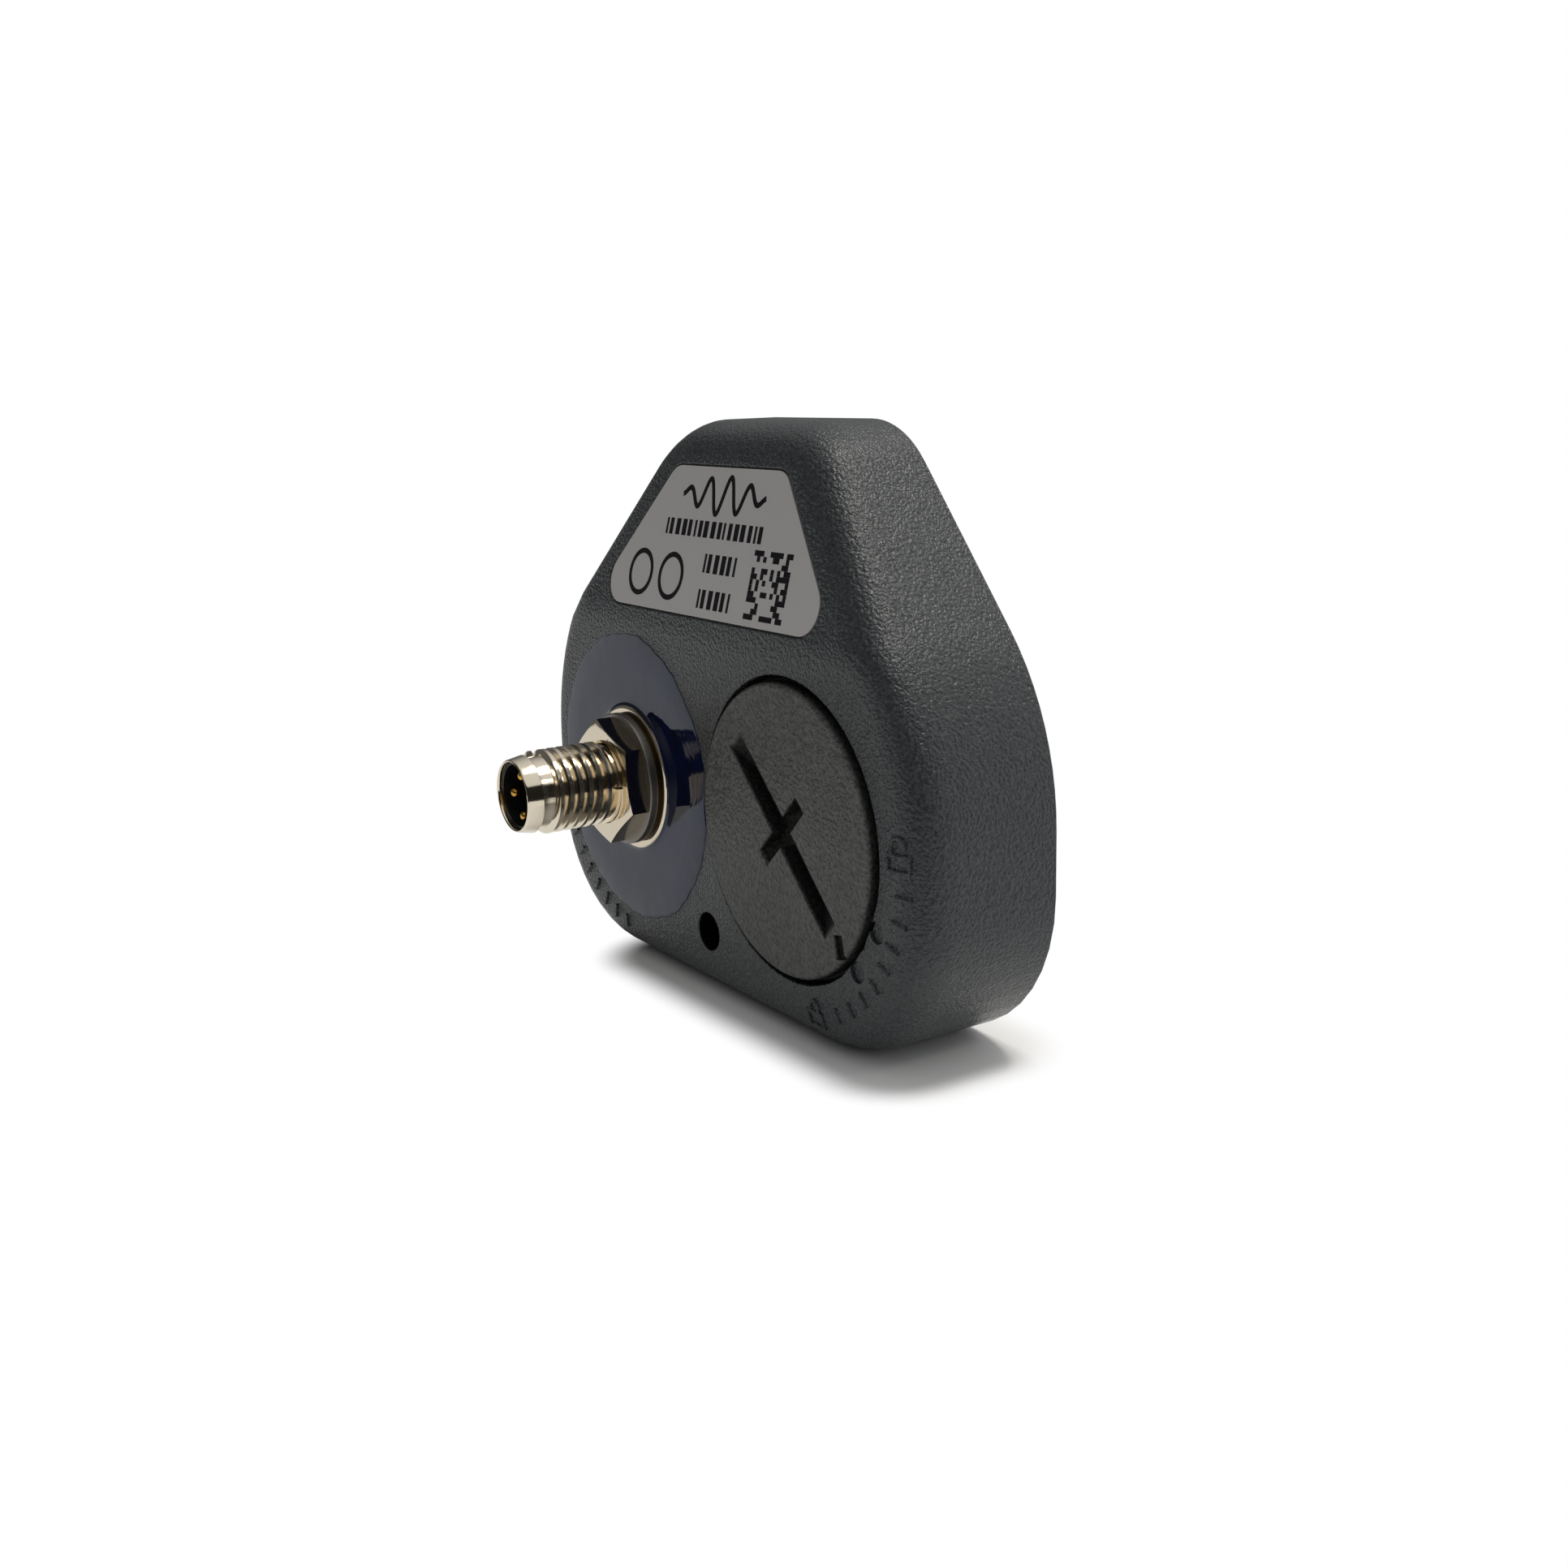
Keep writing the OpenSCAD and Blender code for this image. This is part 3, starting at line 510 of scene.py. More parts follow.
# %% [markdown]
# The housing's skin is known exactly: an outline of straight sides and round corners, a quarter round
# along the front edge, and a front that leans back above the bend. So a point can be asked whether it
# lies on the skin, and which way the skin faces there. The round along the edge is tightest in its
# middle, which draws the bright line between the front and the sides, and a power puts that in.

# %% Skin of the housing
CORNERS = [(-32, 0, 14.5), (32, 0, 14.5), (32, 29.1, 24.9),
           (12.2, 52.6, 9.6), (-12.2, 52.6, 9.6), (-32, 29.1, 24.9)]
EDGE_ROUND = 4.0
BEND_REACH = 1.2
TIGHT = 2.0
LEAN = math.tan(SLOPE)


def outline_at(p):
    """Inset from the outline, and the outline's normal, at a point of the front view."""
    found = []
    for k, (x, z, r) in enumerate(CORNERS):
        corner = Vector((x, z))
        into = (corner - Vector(CORNERS[k - 1][:2])).normalized()
        out_of = (Vector(CORNERS[(k + 1) % len(CORNERS)][:2]) - corner).normalized()
        one = Vector((into.y, -into.x))
        two = Vector((out_of.y, -out_of.x))
        found.append(((corner - p).dot(two), two))
        arm = p - corner + (one + two) * r / (1 + one.dot(two))
        if arm.dot(into) > 0 > arm.dot(out_of):
            found.append((r - arm.length, arm.normalized()))
    return min(found, key=lambda pair: pair[0])


def skin_normal(point, within):
    """Normal of the housing's true skin, or nothing for a point off it by more than a share of the round."""
    x, y, z = point / MM
    inset, side = outline_at(Vector((x, z)))
    rise = min(max(z - BEND_Z + BEND_REACH, 0), 2 * BEND_REACH)
    leaning = rise * rise / (4 * BEND_REACH) + max(0, z - BEND_Z - BEND_REACH)
    depth = y - FRONT_Y - LEAN * leaning
    across = max(0, 1 - inset / EDGE_ROUND)
    ahead = max(0, 1 - depth / EDGE_ROUND)
    if abs(math.hypot(across, ahead) - 1) > within:
        return None
    across, ahead = across ** TIGHT, ahead ** TIGHT
    upward = side.y * across + LEAN * rise / (2 * BEND_REACH) * ahead
    return Vector((side.x * across, -ahead, upward)).normalized()


# %% [markdown]
# No moulding has a razor edge. The housing, its rear cover and the battery cover keep the form of their
# solids, so each is a merged copy with flat areas joined again and its rims broken by a small round.
# Modelling them afresh would only drift from the true size. Rims that are open to view are enough: those
# on the housing's skin, clear of its two dents, and those of the coin slot on the face of its cover.

# %% Rims to break
DENTS = {"radius": 14.15, "angles": (-44, -24), "clear": 1.3}
NEAR_SKIN = 0.03
SLOT_REACH = 10.5
ON_FACE = 0.01 * MM


def polar(radius, degrees):
    """Flat point at a radius and an angle."""
    return radius * math.cos(math.radians(degrees)), radius * math.sin(math.radians(degrees))


dents = [cover_place @ (Vector((*polar(DENTS["radius"], a), 0)) * MM) for a in DENTS["angles"]]


def apart(one, two):
    """Distance of two points in the front view, in millimetres."""
    return math.hypot(one.x - two.x, one.z - two.z) / MM


def housing_rim(point):
    """Whether a point lies on the skin, clear of the dents."""
    clear = all(apart(point, dent) > DENTS["clear"] for dent in dents)
    return clear and skin_normal(point, NEAR_SKIN) is not None


def slot_rim(point):
    """Whether a point lies on the face of the cover, near the slot."""
    return abs(point.y - cover_face) < ON_FACE and apart(point, cover_place.translation) < SLOT_REACH


print("dents at", [tuple(round(v / MM, 2) for v in dent) for dent in dents])

# %% [markdown]
# Bevel can clamp its width where rounds would meet, but one tiny edge then shrinks every round of the
# mesh. So the clamp stays off, and the rims are chosen instead.

# %% Copies with broken edges
WELD = 2e-6
FLAT = math.radians(0.5)
HARD = math.radians(50)
BROKEN_MM = {"front_housing": 0.15, "rear_cover": 0.15, "battery_cover": 0.12}


def broken_edges(node, rim=lambda point: True):
    """Copy of a solid's mesh whose hard rims have a small round."""
    work = bmesh.new()
    work.from_mesh(nodes[node].data)
    bmesh.ops.remove_doubles(work, verts=work.verts, dist=WELD)
    bmesh.ops.dissolve_limit(work, angle_limit=FLAT, verts=work.verts, edges=work.edges)
    hard = [e for e in work.edges if len(e.link_faces) == 2 and e.calc_face_angle(0) > HARD
            and all(rim(v.co) for v in e.verts)]
    bmesh.ops.bevel(work, geom=hard, offset=BROKEN_MM[node] * MM, segments=2, profile=0.5, affect="EDGES")
    bmesh.ops.dissolve_degenerate(work, dist=WELD, edges=work.edges)
    mesh = bpy.data.meshes.new(node + "_soft")
    work.to_mesh(mesh)
    work.free()
    return mesh


housing = piece("housing_moulding", broken_edges("front_housing", housing_rim),
                moulded_grey, "housing", "housing", "front_housing")
rear = piece("rear_cover_moulding", broken_edges("rear_cover"),
             moulded_grey, "housing", "housing", "rear_cover")
cover = piece("battery_cover_moulding", broken_edges("battery_cover", slot_rim),
              cover_grey, "cover", "cover", "battery_cover")

# %% [markdown]
# Where a flat meets its small round, plain smoothing would tilt the normal at the rim and draw streaks
# over the whole flat. Weighing each face by its area keeps the flat even and leaves the turn to the round.

# %% Even flats
SMOOTH_TOGETHER = 0.6


def weighed_normals(mesh):
    """Normal of every face corner, as the mean of the faces that meet there, weighed by their areas."""
    meeting = [[] for _ in mesh.vertices]
    for face in mesh.polygons:
        for v in face.vertices:
            meeting[v].append((face.normal.copy(), face.area))
    found = []
    for face in mesh.polygons:
        for v in face.vertices:
            near = [n * area for n, area in meeting[v] if n.dot(face.normal) > SMOOTH_TOGETHER]
            found.append(sum(near, Vector()).normalized())
    return found


for made in (rear, cover):
    made.data.normals_split_custom_set(weighed_normals(made.data))
    print(made.name, "has even flats")

# %% [markdown]
# A solid made of flat facets shades in bands, so every point on the skin of the housing gets the normal
# of the true form instead. Points of its small rounds lie deeper and keep their own.

# %% Normals of the skin
TRUE_SKIN = 0.008
SAME_WAY = 0.85
skin = [skin_normal(v.co, TRUE_SKIN) for v in housing.data.vertices]
loop_normals = weighed_normals(housing.data)
for face in housing.data.polygons:
    for i in face.loop_indices:
        true_normal = skin[housing.data.loops[i].vertex_index]
        if true_normal and true_normal.dot(face.normal) > SAME_WAY:
            loop_normals[i] = true_normal
housing.data.normals_split_custom_set(loop_normals)
print("true normals on", sum(n is not None for n in skin), "of", len(skin), "points")

# %% [markdown]
# The connector's parts are turned on a lathe, and so are they here: a half section in millimetres, with
# its corners softened, runs once round the axis. Blender's Bevel could soften the finished ring, but
# rounding the flat section first gives even strips of faces.

# %% Soft corners
CORNER_STEPS = 4
SIDE_SHARE = 0.45


def softened(points, radius):
    """Closed half section with rounded corners."""
    made = []
    for k, corner in enumerate(points):
        corner = Vector(corner)
        before = Vector(points[k - 1]) - corner
        after = Vector(points[(k + 1) % len(points)]) - corner
        start = corner + before.normalized() * min(radius, before.length * SIDE_SHARE)
        end = corner + after.normalized() * min(radius, after.length * SIDE_SHARE)
        for t in (i / CORNER_STEPS for i in range(CORNER_STEPS + 1)):
            made.append(start.lerp(corner, t).lerp(corner.lerp(end, t), t))
    return made


# %% [markdown]
# Some parts aren't quite round: the rim of the resin wanders, and a nut is a hexagon. So the lathe takes
# a function that gives the half section at each angle. A section that ends on the axis stays open, and
# its end points are welded to one.

# %% Lathe with a changing section
AXIS = 0.001
AXIS_WELD = 0.005
TURN_STEPS = 128


def swept_round(name, section_at, place, steps, closed=True):
    """Mesh of a half section of radii and heights, which may change with the angle."""
    work = bmesh.new()
    rings = []
    for k in range(steps):
        a = 2 * math.pi * k / steps
        ring = [Vector((r * math.cos(a), r * math.sin(a), h)) * MM for r, h in section_at(a)]
        rings.append([work.verts.new(place @ point) for point in ring])
    for one, two in zip(rings[-1:] + rings[:-1], rings):
        for i in range(0 if closed else 1, len(one)):
            work.faces.new((one[i - 1], two[i - 1], two[i], one[i]))
    if not closed:
        bmesh.ops.remove_doubles(work, verts=work.verts, dist=AXIS_WELD * MM)
    bmesh.ops.recalc_face_normals(work, faces=work.faces)
    mesh = bpy.data.meshes.new(name)
    work.to_mesh(mesh)
    work.free()
    return mesh


def turned(name, section, place):
    """Mesh of one closed half section turned round the axis of a place."""
    return swept_round(name, lambda a: section, place, TURN_STEPS)


# %% [markdown]
# The potting was poured by hand: it fills the recess, and its last film ran a little over the rim and
# stopped in an uneven line, on the right at the edge of the battery opening. At the washer it climbs in
# a small curl.

# %% Resin disc
RESIN = {"film": 0.08, "well": 13.3, "bore": 3.72, "depth": -2.38, "spill": 14.05, "uneven": 0.2,
         "under": -0.02, "seat": -0.1, "seat_radius": 6.7, "steps": 240}
RIPPLES = ((0.45, 5, 1), (0.3, 13, 2), (0.25, 37, 0))
CURL = [(11.0, 0), (7.9, 0), (7.4, 0.02), (7.15, 0.06), (7.02, 0.14), (RESIN["seat_radius"], 0.14)]
BATTERY = {"away": 2 * WELL_X, "rim": 13.42}


def resin_section(a):
    """Half section of the resin at an angle."""
    ripple = sum(share * math.sin(waves * a + shift) for share, waves, shift in RIPPLES)
    spill = RESIN["spill"] + RESIN["uneven"] * ripple
    across = BATTERY["away"] * math.sin(a)
    if math.cos(a) > 0 and abs(across) < BATTERY["rim"]:
        spill = min(spill, BATTERY["away"] * math.cos(a) - math.sqrt(BATTERY["rim"] ** 2 - across ** 2))
    film = RESIN["film"]
    body = [(RESIN["bore"], RESIN["depth"]), (RESIN["well"], RESIN["depth"]), (RESIN["well"], RESIN["under"])]
    edge = [(spill, RESIN["under"]), (spill - 0.06, 0.6 * film), (spill - 0.3, film)]
    seat = [(RESIN["seat_radius"], RESIN["seat"]), (RESIN["bore"], RESIN["seat"])]
    return body + edge + [(r, film + h) for r, h in CURL] + seat


piece("resin_disc", swept_round("resin_disc", resin_section, connector_place, RESIN["steps"]),
      navy_resin, "housing", "resin", "potting_disc")

# %% [markdown]
# Behind the nut lie a rounded flange washer, a dull spacer ring and a flat grey washer, each on the one
# before. Their heights count from the front of the housing.

# %% Washers
HOLE_R = 4.05
STACK = {"resin": RESIN["film"], "flange": 0.38, "spacer": 0.73, "washer": 1.58}


def plain_ring(radius, low, high):
    """Half section of a flat ring."""
    return [(HOLE_R, low), (radius, low), (radius, high), (HOLE_R, high)]


flange = [(HOLE_R, STACK["resin"]), (7.05, STACK["resin"]), (7.05, 0.2),
          (6.8, STACK["flange"]), (HOLE_R, STACK["flange"])]
spacer = plain_ring(6.3, STACK["flange"], STACK["spacer"])
washer = plain_ring(6.4, STACK["spacer"], STACK["washer"])
RINGS = (("flange_washer", flange, 0.16, nickel_plate, "nickel", "flat_washer"),
         ("brass_spacer", spacer, 0.1, dull_brass, "brass", "spacer_ring"),
         ("grey_washer", washer, 0.15, satin_nickel, "nickel", "lock_washer"))
for name, section, corner, material, slot, solid in RINGS:
    piece(name, turned(name, softened(section, corner), connector_place), material, "housing", slot, solid)

# %% [markdown]
# A nut is a hexagon whose corners are turned off by a cone, which leaves curved edges on each flat. The
# hexagon's radius is known at every angle, and the cone lowers the edge by how far it stands out.

# %% Chamfered nut
SIXTH = math.pi / 3
NUT = {"flat": 5.25, "low": STACK["washer"], "high": 3.48, "bore": 3.72, "turn": math.radians(98),
       "crown": 0.985, "cone": 0.3, "least": 0.03, "mouth": 0.35, "mouth_depth": 0.3, "steps": 180}


def hexagon(flat, a):
    """Radius of a hexagon at an angle, from half its width across flats."""
    return flat / math.cos(a % SIXTH - SIXTH / 2)


def nut_section(a):
    """Half section of the nut at an angle."""
    r = hexagon(NUT["flat"], a - NUT["turn"])
    crown = NUT["flat"] * NUT["crown"]
    drop = max(NUT["least"], (r - crown) * NUT["cone"])
    return [(NUT["bore"], NUT["low"]), (r, NUT["low"]), (r, NUT["high"] - drop), (crown, NUT["high"]),
            (NUT["bore"] + NUT["mouth"], NUT["high"]), (NUT["bore"], NUT["high"] - NUT["mouth_depth"])]


piece("hex_nut", swept_round("hex_nut", nut_section, connector_place, NUT["steps"]),
      nickel_plate, "housing", "nickel", "connector_nut", sharp=20)

# %% [markdown]
# The shell is one turned part: a flange behind the panel, a core for the thread, two narrow rings, and a
# smooth collar with a thin lip. The thread is put on next.

# %% Connector shell
CORE = 3.42
BORE = 3.2
THREAD_LOW = 3.6
panel_flange = [(BORE, -6.6), (5.5, -6.6), (5.5, -5.2), (3.64, -5.2), (3.64, 3.4)]
neck = [(CORE, THREAD_LOW), (CORE, 10.45), (3.4, 10.55), (3.4, 11.22)]
collar = [(3.5, 11.3), (3.66, 11.32), (3.72, 11.4), (3.48, 12.66)]
lip = [(3.45, 12.77), (3.4, 12.86), (3.34, 12.9), (3.28, 12.88), (3.22, 12.8), (BORE, 12.6)]
piece("connector_body", turned("connector_body", panel_flange + neck + collar + lip, connector_place),
      brighter_painted_nickel, "housing", "nickel", "connector_shell")

# %% [markdown]
# What follows a path or repeats is made by Geometry Nodes. A tree is a small machine with named inputs:
# it is built once, run on a holder object, and its result is taken as a plain mesh.

# %% Node groups as makers
def node_group(name, sockets):
    """Empty geometry tree with named inputs."""
    tree = bpy.data.node_groups.new(name, "GeometryNodeTree")
    tree.interface.new_socket("Geometry", in_out="INPUT", socket_type="NodeSocketGeometry")
    for label, kind in sockets.items():
        tree.interface.new_socket(label, in_out="INPUT", socket_type="NodeSocket" + kind)
    tree.interface.new_socket("Geometry", in_out="OUTPUT", socket_type="NodeSocketGeometry")
    return tree, tree.nodes.new("NodeGroupInput").outputs


def close_tree(tree, geometry, material):
    """Ends a tree with real geometry and its material."""
    real = add(tree, "GeometryNodeRealizeInstances", {"Geometry": geometry})
    dressed = add(tree, "GeometryNodeSetMaterial", {"Geometry": real.outputs[0], "Material": material})
    add(tree, "NodeGroupOutput", {0: dressed.outputs[0]})
    print(tree.name, "has", len(tree.nodes), "nodes")


def made_by(tree, name, mesh, values):
    """Runs a tree on a mesh and returns the plain result."""
    holder = in_scene(name, mesh)
    maker = holder.modifiers.new(name, "NODES")
    maker.node_group = tree
    for item in tree.interface.items_tree:
        if item.in_out == "INPUT" and item.name in values:
            maker[item.identifier] = values[item.name]
    ready = holder.evaluated_get(bpy.context.evaluated_depsgraph_get())
    result = bpy.data.meshes.new_from_object(ready)
    bpy.data.objects.remove(holder)
    return result


# %% [markdown]
# A thread follows a path: a spiral of one millimetre pitch carries a small trapezoid, which shrinks to
# nothing at both ends as a real thread runs out. A Screw modifier could turn a section too, but not with
# ends that run out.

# %% Path of the thread
RUN_OUT = {"From Min": 0.47, "From Max": 0.5, "To Min": 1.0, "To Max": 0.05}
THREAD_STEPS = 64
thread_tree, given = node_group("cut_thread", {
    "Radius": "Float", "Pitch": "Float", "Turns": "Float", "Depth": "Float", "Material": "Material"})
length = add(thread_tree, "ShaderNodeMath", {0: given["Pitch"], 1: given["Turns"]}, operation="MULTIPLY")
spiral = add(thread_tree, "GeometryNodeCurveSpiral", {
    "Resolution": THREAD_STEPS, "Rotations": given["Turns"], "Start Radius": given["Radius"],
    "End Radius": given["Radius"], "Height": length.outputs[0]})
upright_path = add(thread_tree, "GeometryNodeSetCurveNormal", {"Curve": spiral.outputs[0]}, mode="Z_UP")
along = add(thread_tree, "GeometryNodeSplineParameter").outputs["Factor"]
from_end = add(thread_tree, "ShaderNodeMath", {0: along, 1: 0.5}, operation="SUBTRACT")
from_end = add(thread_tree, "ShaderNodeMath", {0: from_end.outputs[0]}, operation="ABSOLUTE")
run_out = add(thread_tree, "ShaderNodeMapRange", {**RUN_OUT, "Value": from_end.outputs[0]})
tapered = add(thread_tree, "GeometryNodeSetCurveRadius", {
    "Curve": upright_path.outputs[0], "Radius": run_out.outputs[0]})
print("the path of the thread has", THREAD_STEPS, "steps a turn")

# %% [markdown]
# The ridge is a trapezoid, wide at its root and narrow at its crest, which stands on the path.

# %% Ridge of the thread
ROOT_SHARE = 0.9
CREST_SHARE = 0.36
root_w = add(thread_tree, "ShaderNodeMath", {0: given["Pitch"], 1: ROOT_SHARE}, operation="MULTIPLY")
crest_w = add(thread_tree, "ShaderNodeMath", {0: given["Pitch"], 1: CREST_SHARE}, operation="MULTIPLY")
ridge = add(thread_tree, "GeometryNodeCurvePrimitiveQuadrilateral", {
    "Height": given["Depth"], "Bottom Width": root_w.outputs[0], "Top Width": crest_w.outputs[0],
    "Offset": 0.0}, mode="TRAPEZOID")
shift = add(thread_tree, "ShaderNodeCombineXYZ", {"Y": given["Depth"]})
half_shift = add(thread_tree, "ShaderNodeVectorMath", {0: shift.outputs[0], "Scale": 0.5}, operation="SCALE")
raised = add(thread_tree, "GeometryNodeTransform", {
    "Geometry": ridge.outputs[0], "Translation": half_shift.outputs[0]})
turned_out = add(thread_tree, "GeometryNodeTransform", {
    "Geometry": raised.outputs[0], "Rotation": (0, 0, math.pi / 2)})
swept = add(thread_tree, "GeometryNodeCurveToMesh", {
    "Curve": tapered.outputs[0], "Profile Curve": turned_out.outputs[0], "Fill Caps": True})
close_tree(thread_tree, swept.outputs[0], given["Material"])

# %% [markdown]
# The tree is run with the sizes of the real thread, and the result is set on the core of the shell.

# %% Thread
THREAD = {"Radius": CORE * MM, "Pitch": 1.0 * MM, "Turns": 6.7, "Depth": 0.58 * MM,
          "Material": brighter_painted_nickel}
thread_mesh = made_by(thread_tree, "thread_path", bpy.data.meshes.new("thread_path"), THREAD)
spans = [[v.co[i] for v in thread_mesh.vertices] for i in range(3)]
print("thread as made, mm", [round((max(span) - min(span)) / MM, 3) for span in spans])
thread_mesh.transform(connector_place @ Matrix.Translation((0, 0, THREAD_LOW * MM)))
piece("connector_thread", thread_mesh, brighter_painted_nickel, "housing", "nickel", sharp=25)

# %% [markdown]
# Pins and screws repeat, so each is made once on the lathe and set on its places by one small tree.

# %% Repeated parts
repeat_tree, given = node_group("set_on_points", {"Part": "Object", "Material": "Material"})
part = add(repeat_tree, "GeometryNodeObjectInfo", {"Object": given["Part"]})
placed = add(repeat_tree, "GeometryNodeInstanceOnPoints", {
    "Points": given["Geometry"], "Instance": part.outputs["Geometry"]})
close_tree(repeat_tree, placed.outputs[0], given["Material"])


def repeated(name, mesh, points, material):
    """One mesh set on several points, in millimetres."""
    pattern = in_scene(name + "_pattern", mesh)
    dots = bpy.data.meshes.new(name + "_points")
    dots.from_pydata([Vector(p) * MM for p in points], [], [])
    made = made_by(repeat_tree, name, dots, {"Part": pattern, "Material": material})
    bpy.data.objects.remove(pattern)
    return made


# %% [markdown]
# The three contact pins have a domed tip, so that a socket slides on without a scratch.

# %% Contact pins
PIN = {"tip": 12.4, "tail": -11.2, "radius": 0.45, "steps": 32}
PIN_DOME = [(PIN["radius"], 0.5), (0.42, 0.3), (0.34, 0.14), (0.2, 0.04)]
PIN_PLACES = [(0.55, 1.93, 0), (-1.23, 0, 0), (0.55, -1.93, 0)]
pin = [(AXIS, PIN["tail"]), (PIN["radius"], PIN["tail"])]
pin += [(r, PIN["tip"] - below) for r, below in PIN_DOME] + [(AXIS, PIN["tip"])]
one_pin = swept_round("pin", lambda a: pin, Matrix(), PIN["steps"], closed=False)
pin_mesh = repeated("pins", one_pin, PIN_PLACES, gold_plate)
pin_mesh.transform(connector_place)
piece("contact_pins", pin_mesh, gold_plate, "housing", "gilt", "connector_pins")

# %% [markdown]
# The rear screws have a shallow head with a hexagon socket. The socket's wall is a hexagon inside a
# round head, so both run round the same steps and only the radius differs.

# %% Rear screws
SCREW = {"head": 1.9, "under": 1.1, "shank": 1.0, "length": 7.1, "socket": 0.85, "depth": 0.75, "steps": 48}
SCREW_FACE = 7.1
REAR_SCREWS = [(side * x, SCREW_FACE, z) for x, z in ((24.217, 7.783), (9.67, 47.17)) for side in (1, -1)]


def screw_section(a):
    """Half section of a screw with a hexagon socket, its head at height 0."""
    s = hexagon(SCREW["socket"], a)
    head, under, shank, end = SCREW["head"], SCREW["under"], SCREW["shank"], SCREW["length"]
    socket = [(AXIS, -SCREW["depth"] - 0.15), (0.8 * s, -SCREW["depth"]), (s, -SCREW["depth"]),
              (s, -0.12), (s + 0.12, 0)]
    crown = [(head - 0.25, 0), (head - 0.08, -0.06), (head, -0.2),
             (head, 0.05 - under), (head - 0.05, -under)]
    return socket + crown + [(shank, -under), (shank, 0.3 - end), (shank - 0.3, -end), (AXIS, -end)]


backwards = Matrix.Rotation(-math.pi / 2, 4, "X")
one_screw = swept_round("socket_screw", screw_section, backwards, SCREW["steps"], closed=False)
screws = repeated("rear_screws", one_screw, REAR_SCREWS, screw_steel)
low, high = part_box("rear_screws")
piece("rear_socket_screws", screws, screw_steel, "housing", "screw_steel", "rear_screws")
print("screws in the frame lie from", low[:], "to", high[:])

# %% [markdown]
# Small raised signs beside the cover tell how far it turns: a closed padlock, a scale of plain ticks and
# an open padlock. A shorter scale stands under the connector. They are drawn flat, as lines round the
# axis of the cover or of the connector.

# %% Drawing of the signs
ARC_STEPS = 10
LOCK = {"half": 1.0, "foot": -1.2, "top": 0.1, "bow": 0.6, "centre": 0.5, "lift": 1.2}
LOCKS = ((-76, 15.7, 0.0), (4, 15.6, 0.4))
COVER_SCALE = {"angles": range(-64, -7, 8), "inner": 15.5, "outer": 16.9}
PLUG_SCALE = {"angles": range(-148, -99, 8), "inner": 14.9, "outer": 16.3}


def round_arc(x, y, r, first, last, steps=ARC_STEPS):
    """Points of an arc, in degrees."""
    turns = [polar(r, first + (last - first) * i / steps) for i in range(steps + 1)]
    return [(x + p, y + q) for p, q in turns]


def padlock(angle, r, lifted):
    """Lines of a small padlock at a polar place, with its bow shut or lifted."""
    x, y = polar(r, angle)
    half, foot, top, bow = LOCK["half"], LOCK["foot"], LOCK["top"], LOCK["bow"]
    body = [(-half, foot), (half, foot), (half, top), (-half, top), (-half, foot)]
    arch = round_arc(0, LOCK["centre"] + lifted, bow, 180, 0)
    shackle = [(-bow, top)] + arch + [(bow, top + LOCK["lift"] * lifted)]
    return [[(x + p, y + q) for p, q in line] for line in (body, shackle)]


def scale(angles, inner, outer):
    """Short radial lines."""
    return [[polar(inner, a), polar(outer, a)] for a in angles]


cover_signs = [line for lock in LOCKS for line in padlock(*lock)] + scale(**COVER_SCALE)
plug_signs = scale(**PLUG_SCALE)
print("signs of", len(cover_signs), "and", len(plug_signs), "lines")

# %% [markdown]
# The moulding is curved there, so each line is cut fine and every point is dropped on the housing by a
# ray from the front.

# %% Signs on the housing
DROP_FROM = 8
FINE_STEPS = 4
shape = nodes["front_housing"].data
surface = BVHTree.FromPolygons([v.co for v in shape.vertices], [p.vertices for p in shape.polygons])


def dropped(place, x, y):
    """Point of the moulding in front of a flat drawing point."""
    start = place @ (Vector((x, y, DROP_FROM)) * MM)
    hit = surface.ray_cast(start, Vector((0, 1, 0)))[0]
    return hit if hit else place @ (Vector((x, y, 0)) * MM)


points = []
edges = []
for place, lines in ((cover_place, cover_signs), (connector_place, plug_signs)):
    for line in lines:
        fine = [Vector(a).lerp(Vector(b), t / FINE_STEPS)
                for a, b in zip(line, line[1:]) for t in range(FINE_STEPS)] + [Vector(line[-1])]
        edges += [(len(points) + i, len(points) + i + 1) for i in range(len(fine) - 1)]
        points += [dropped(place, *p) for p in fine]
paths = bpy.data.meshes.new("sign_paths")
paths.from_pydata(points, edges, [])
print("signs follow", len(points), "points")

# %% [markdown]
# One tree then lays a thin round bead along every line, half of it sunk in the housing.

# %% Beads
BEAD_R = 0.2
BEAD_SIDES = 8
bead_tree, given = node_group("round_bead", {"Radius": "Float", "Material": "Material"})
path = add(bead_tree, "GeometryNodeMeshToCurve", {"Mesh": given["Geometry"]})
bead = add(bead_tree, "GeometryNodeCurvePrimitiveCircle", {
    "Resolution": BEAD_SIDES, "Radius": given["Radius"]})
swept = add(bead_tree, "GeometryNodeCurveToMesh", {
    "Curve": path.outputs[0], "Profile Curve": bead.outputs[0], "Fill Caps": True})
close_tree(bead_tree, swept.outputs[0], given["Material"])
signs = made_by(bead_tree, "signs", paths, {"Radius": BEAD_R * MM, "Material": moulded_grey})
piece("raised_signs", signs, moulded_grey, "housing", "housing")

# %% [markdown]
# The label is a bare silver film with a plain print. Ink is a coat of a few hundredths of a millimetre,
# so each line is a thin closed ribbon that stands a hundredth proud of the film. A texture could show the
# print too, but a ribbon keeps a crisp edge from close by.

# %% Ribbons of ink
INK = {"top": -0.04, "under": -0.07}
SHARPEST = 0.5
ribbons = bmesh.new()


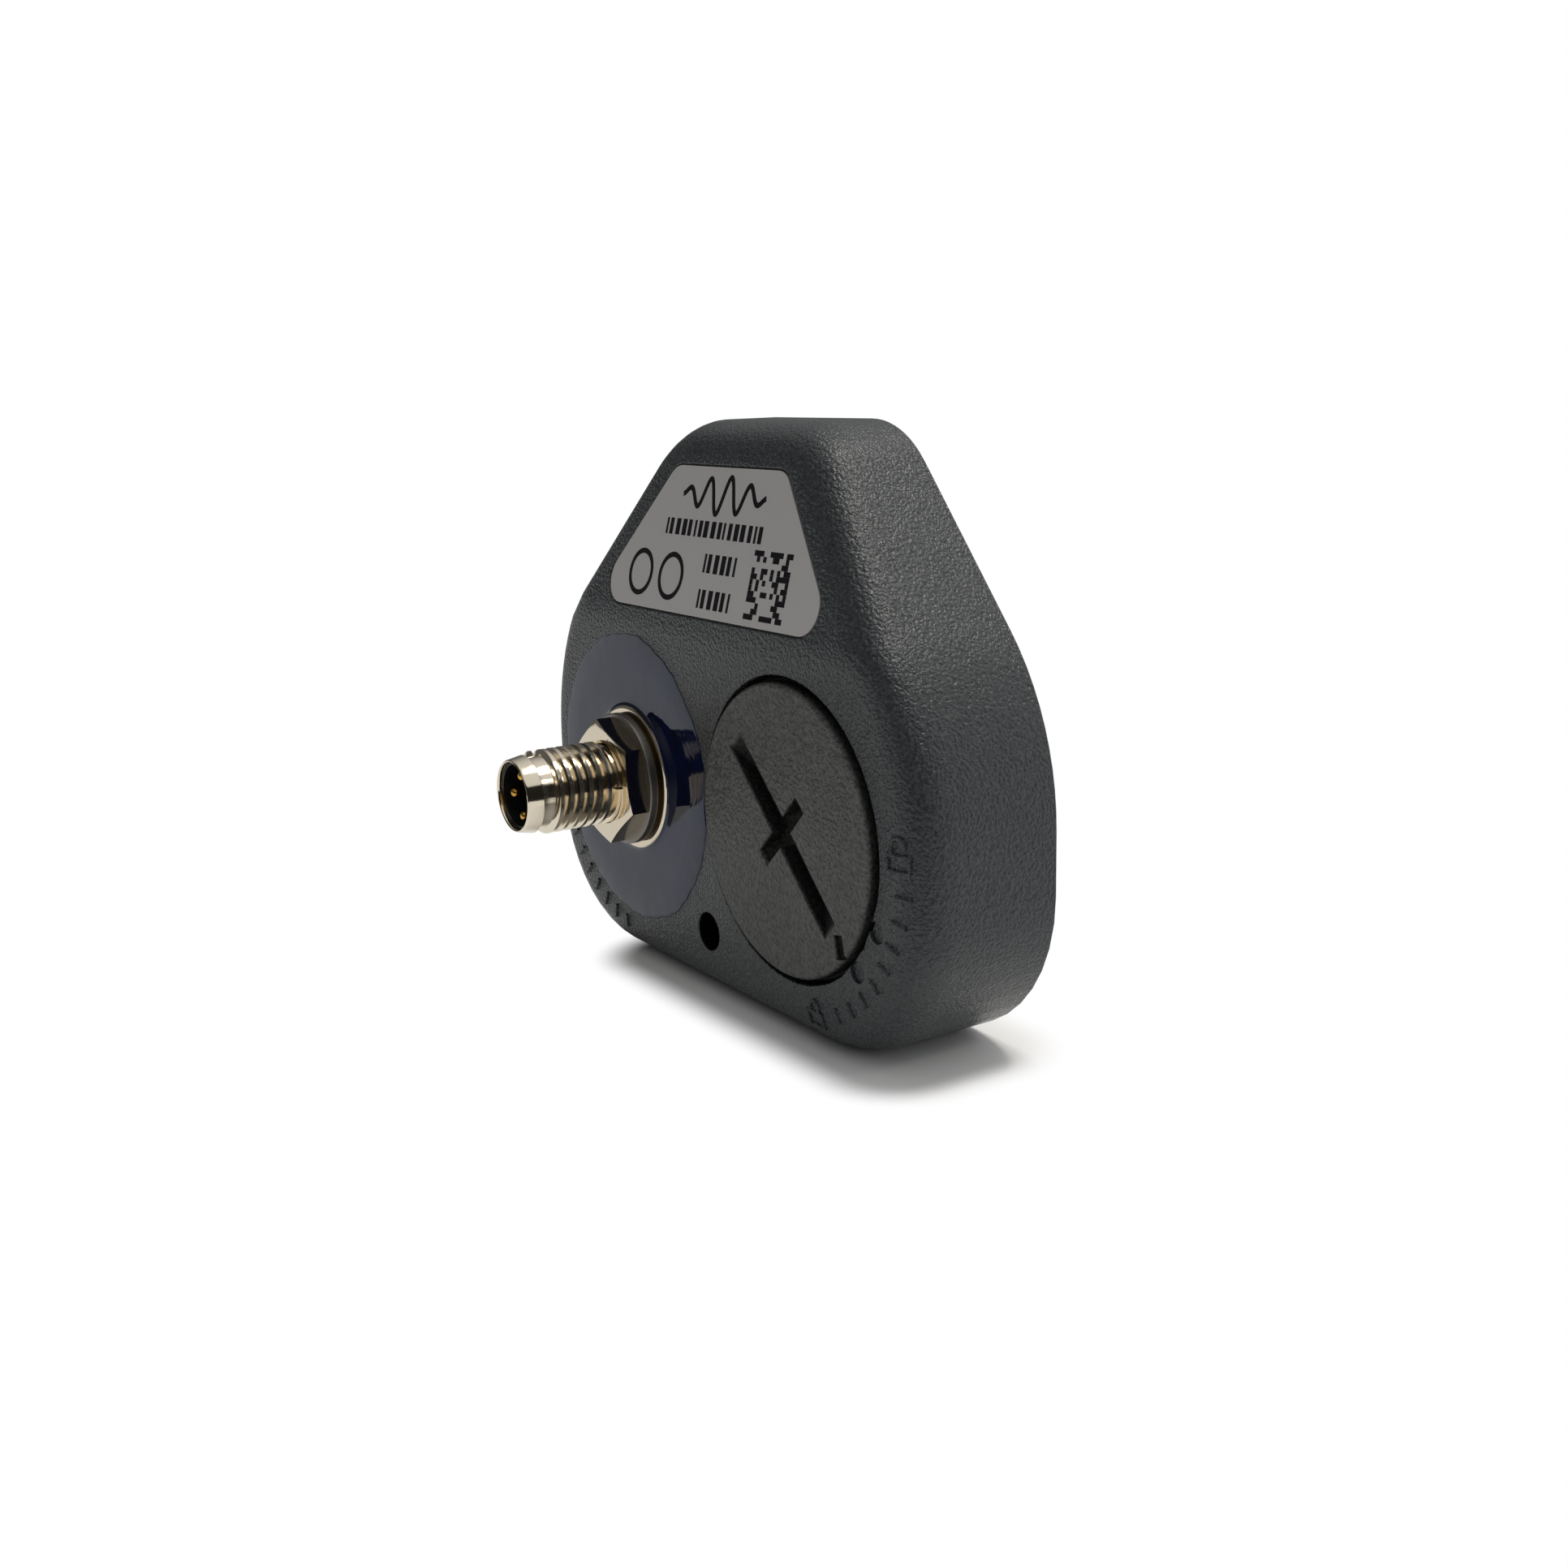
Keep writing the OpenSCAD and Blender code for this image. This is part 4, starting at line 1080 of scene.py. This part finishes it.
def ribbon(line, width, ring=False):
    """Thin closed body of even width along a line on the label, or along a ring of points."""
    rails = []
    for k, p in enumerate(line):
        p = Vector(p)
        before = (p - Vector(line[k - 1])).normalized() if k or ring else None
        after = (Vector(line[(k + 1) % len(line)]) - p).normalized() if k + 1 < len(line) or ring else None
        along = ((before or after) + (after or before)).normalized()
        side = Vector((-along.y, along.x)) * width / 2 / max(SHARPEST, along.dot(after or before))
        rim = ((p - side, "top"), (p + side, "top"), (p + side, "under"), (p - side, "under"))
        rails.append([ribbons.verts.new(label_place @ (Vector((*q, INK[face])) * MM)) for q, face in rim])
    if ring:
        rails.append(rails[0])
    else:
        ribbons.faces.new(rails[0][::-1])
        ribbons.faces.new(rails[-1])
    for one, two in zip(rails, rails[1:]):
        for i in range(4):
            ribbons.faces.new((one[i - 1], two[i - 1], two[i], one[i]))


# %% [markdown]
# The print is a wave, rows of bars, two rings and a field of dots that spell nothing. Bars and dots
# follow a simple rule of remainders, so they look uneven and stay the same.

# %% Label print
LINE_W = 0.5
WAVE = {"middle": 12.2, "swing": 1.7, "half": 1.7, "fade": 15, "reach": 70, "per_mm": 10}
BAR = {"width": 0.35, "wider": 0.13, "gap": 0.3, "more": 0.1}
BAR_ROWS = ((-9.0, 9.1, 7.2, 1.5), (-1.2, 6.1, 4.6, 1.7), (-1.2, 2.9, 4.6, 1.7))
RING_PRINT = {"places": (-12.2, -6.6), "height": 4.5, "radius": 2.0, "points": 40}
DOTS = {"count": 12, "left": 6.8, "low": 2.1, "step": 0.5, "size": 0.49}


def wave_point(x):
    """Point of a wave that fades towards its ends."""
    swing = math.sin(x * math.pi / WAVE["half"]) * math.cos(x * math.pi / WAVE["fade"])
    return x, WAVE["middle"] + WAVE["swing"] * swing


def bars(x, y, last, height):
    """Row of upright bars of uneven width."""
    k = 0
    while x < last:
        width = BAR["width"] + BAR["wider"] * (k * k * 7 % 5)
        ribbon([(x, y), (x + width, y)], height)
        x += width + BAR["gap"] + BAR["more"] * (k * 5 % 3)
        k += 1


ribbon([wave_point(k / WAVE["per_mm"]) for k in range(-WAVE["reach"], WAVE["reach"] + 1)], LINE_W)
for row in BAR_ROWS:
    bars(*row)
for x in RING_PRINT["places"]:
    circle = round_arc(x, RING_PRINT["height"], RING_PRINT["radius"], 0, 360, RING_PRINT["points"])
    ribbon(circle[:-1], LINE_W, ring=True)
for column in range(DOTS["count"]):
    for row in range(DOTS["count"]):
        if (column * column * 3 + row * row * 5 + column * row * 7 + column) % 11 < 5:
            x = DOTS["left"] + column * DOTS["step"]
            y = DOTS["low"] + row * DOTS["step"]
            ribbon([(x, y), (x + DOTS["size"], y)], DOTS["size"])
bmesh.ops.recalc_face_normals(ribbons, faces=ribbons.faces)
print_mesh = bpy.data.meshes.new("label_print")
ribbons.to_mesh(print_mesh)
ribbons.free()
piece("label_print", print_mesh, printing_ink, "housing", "label")
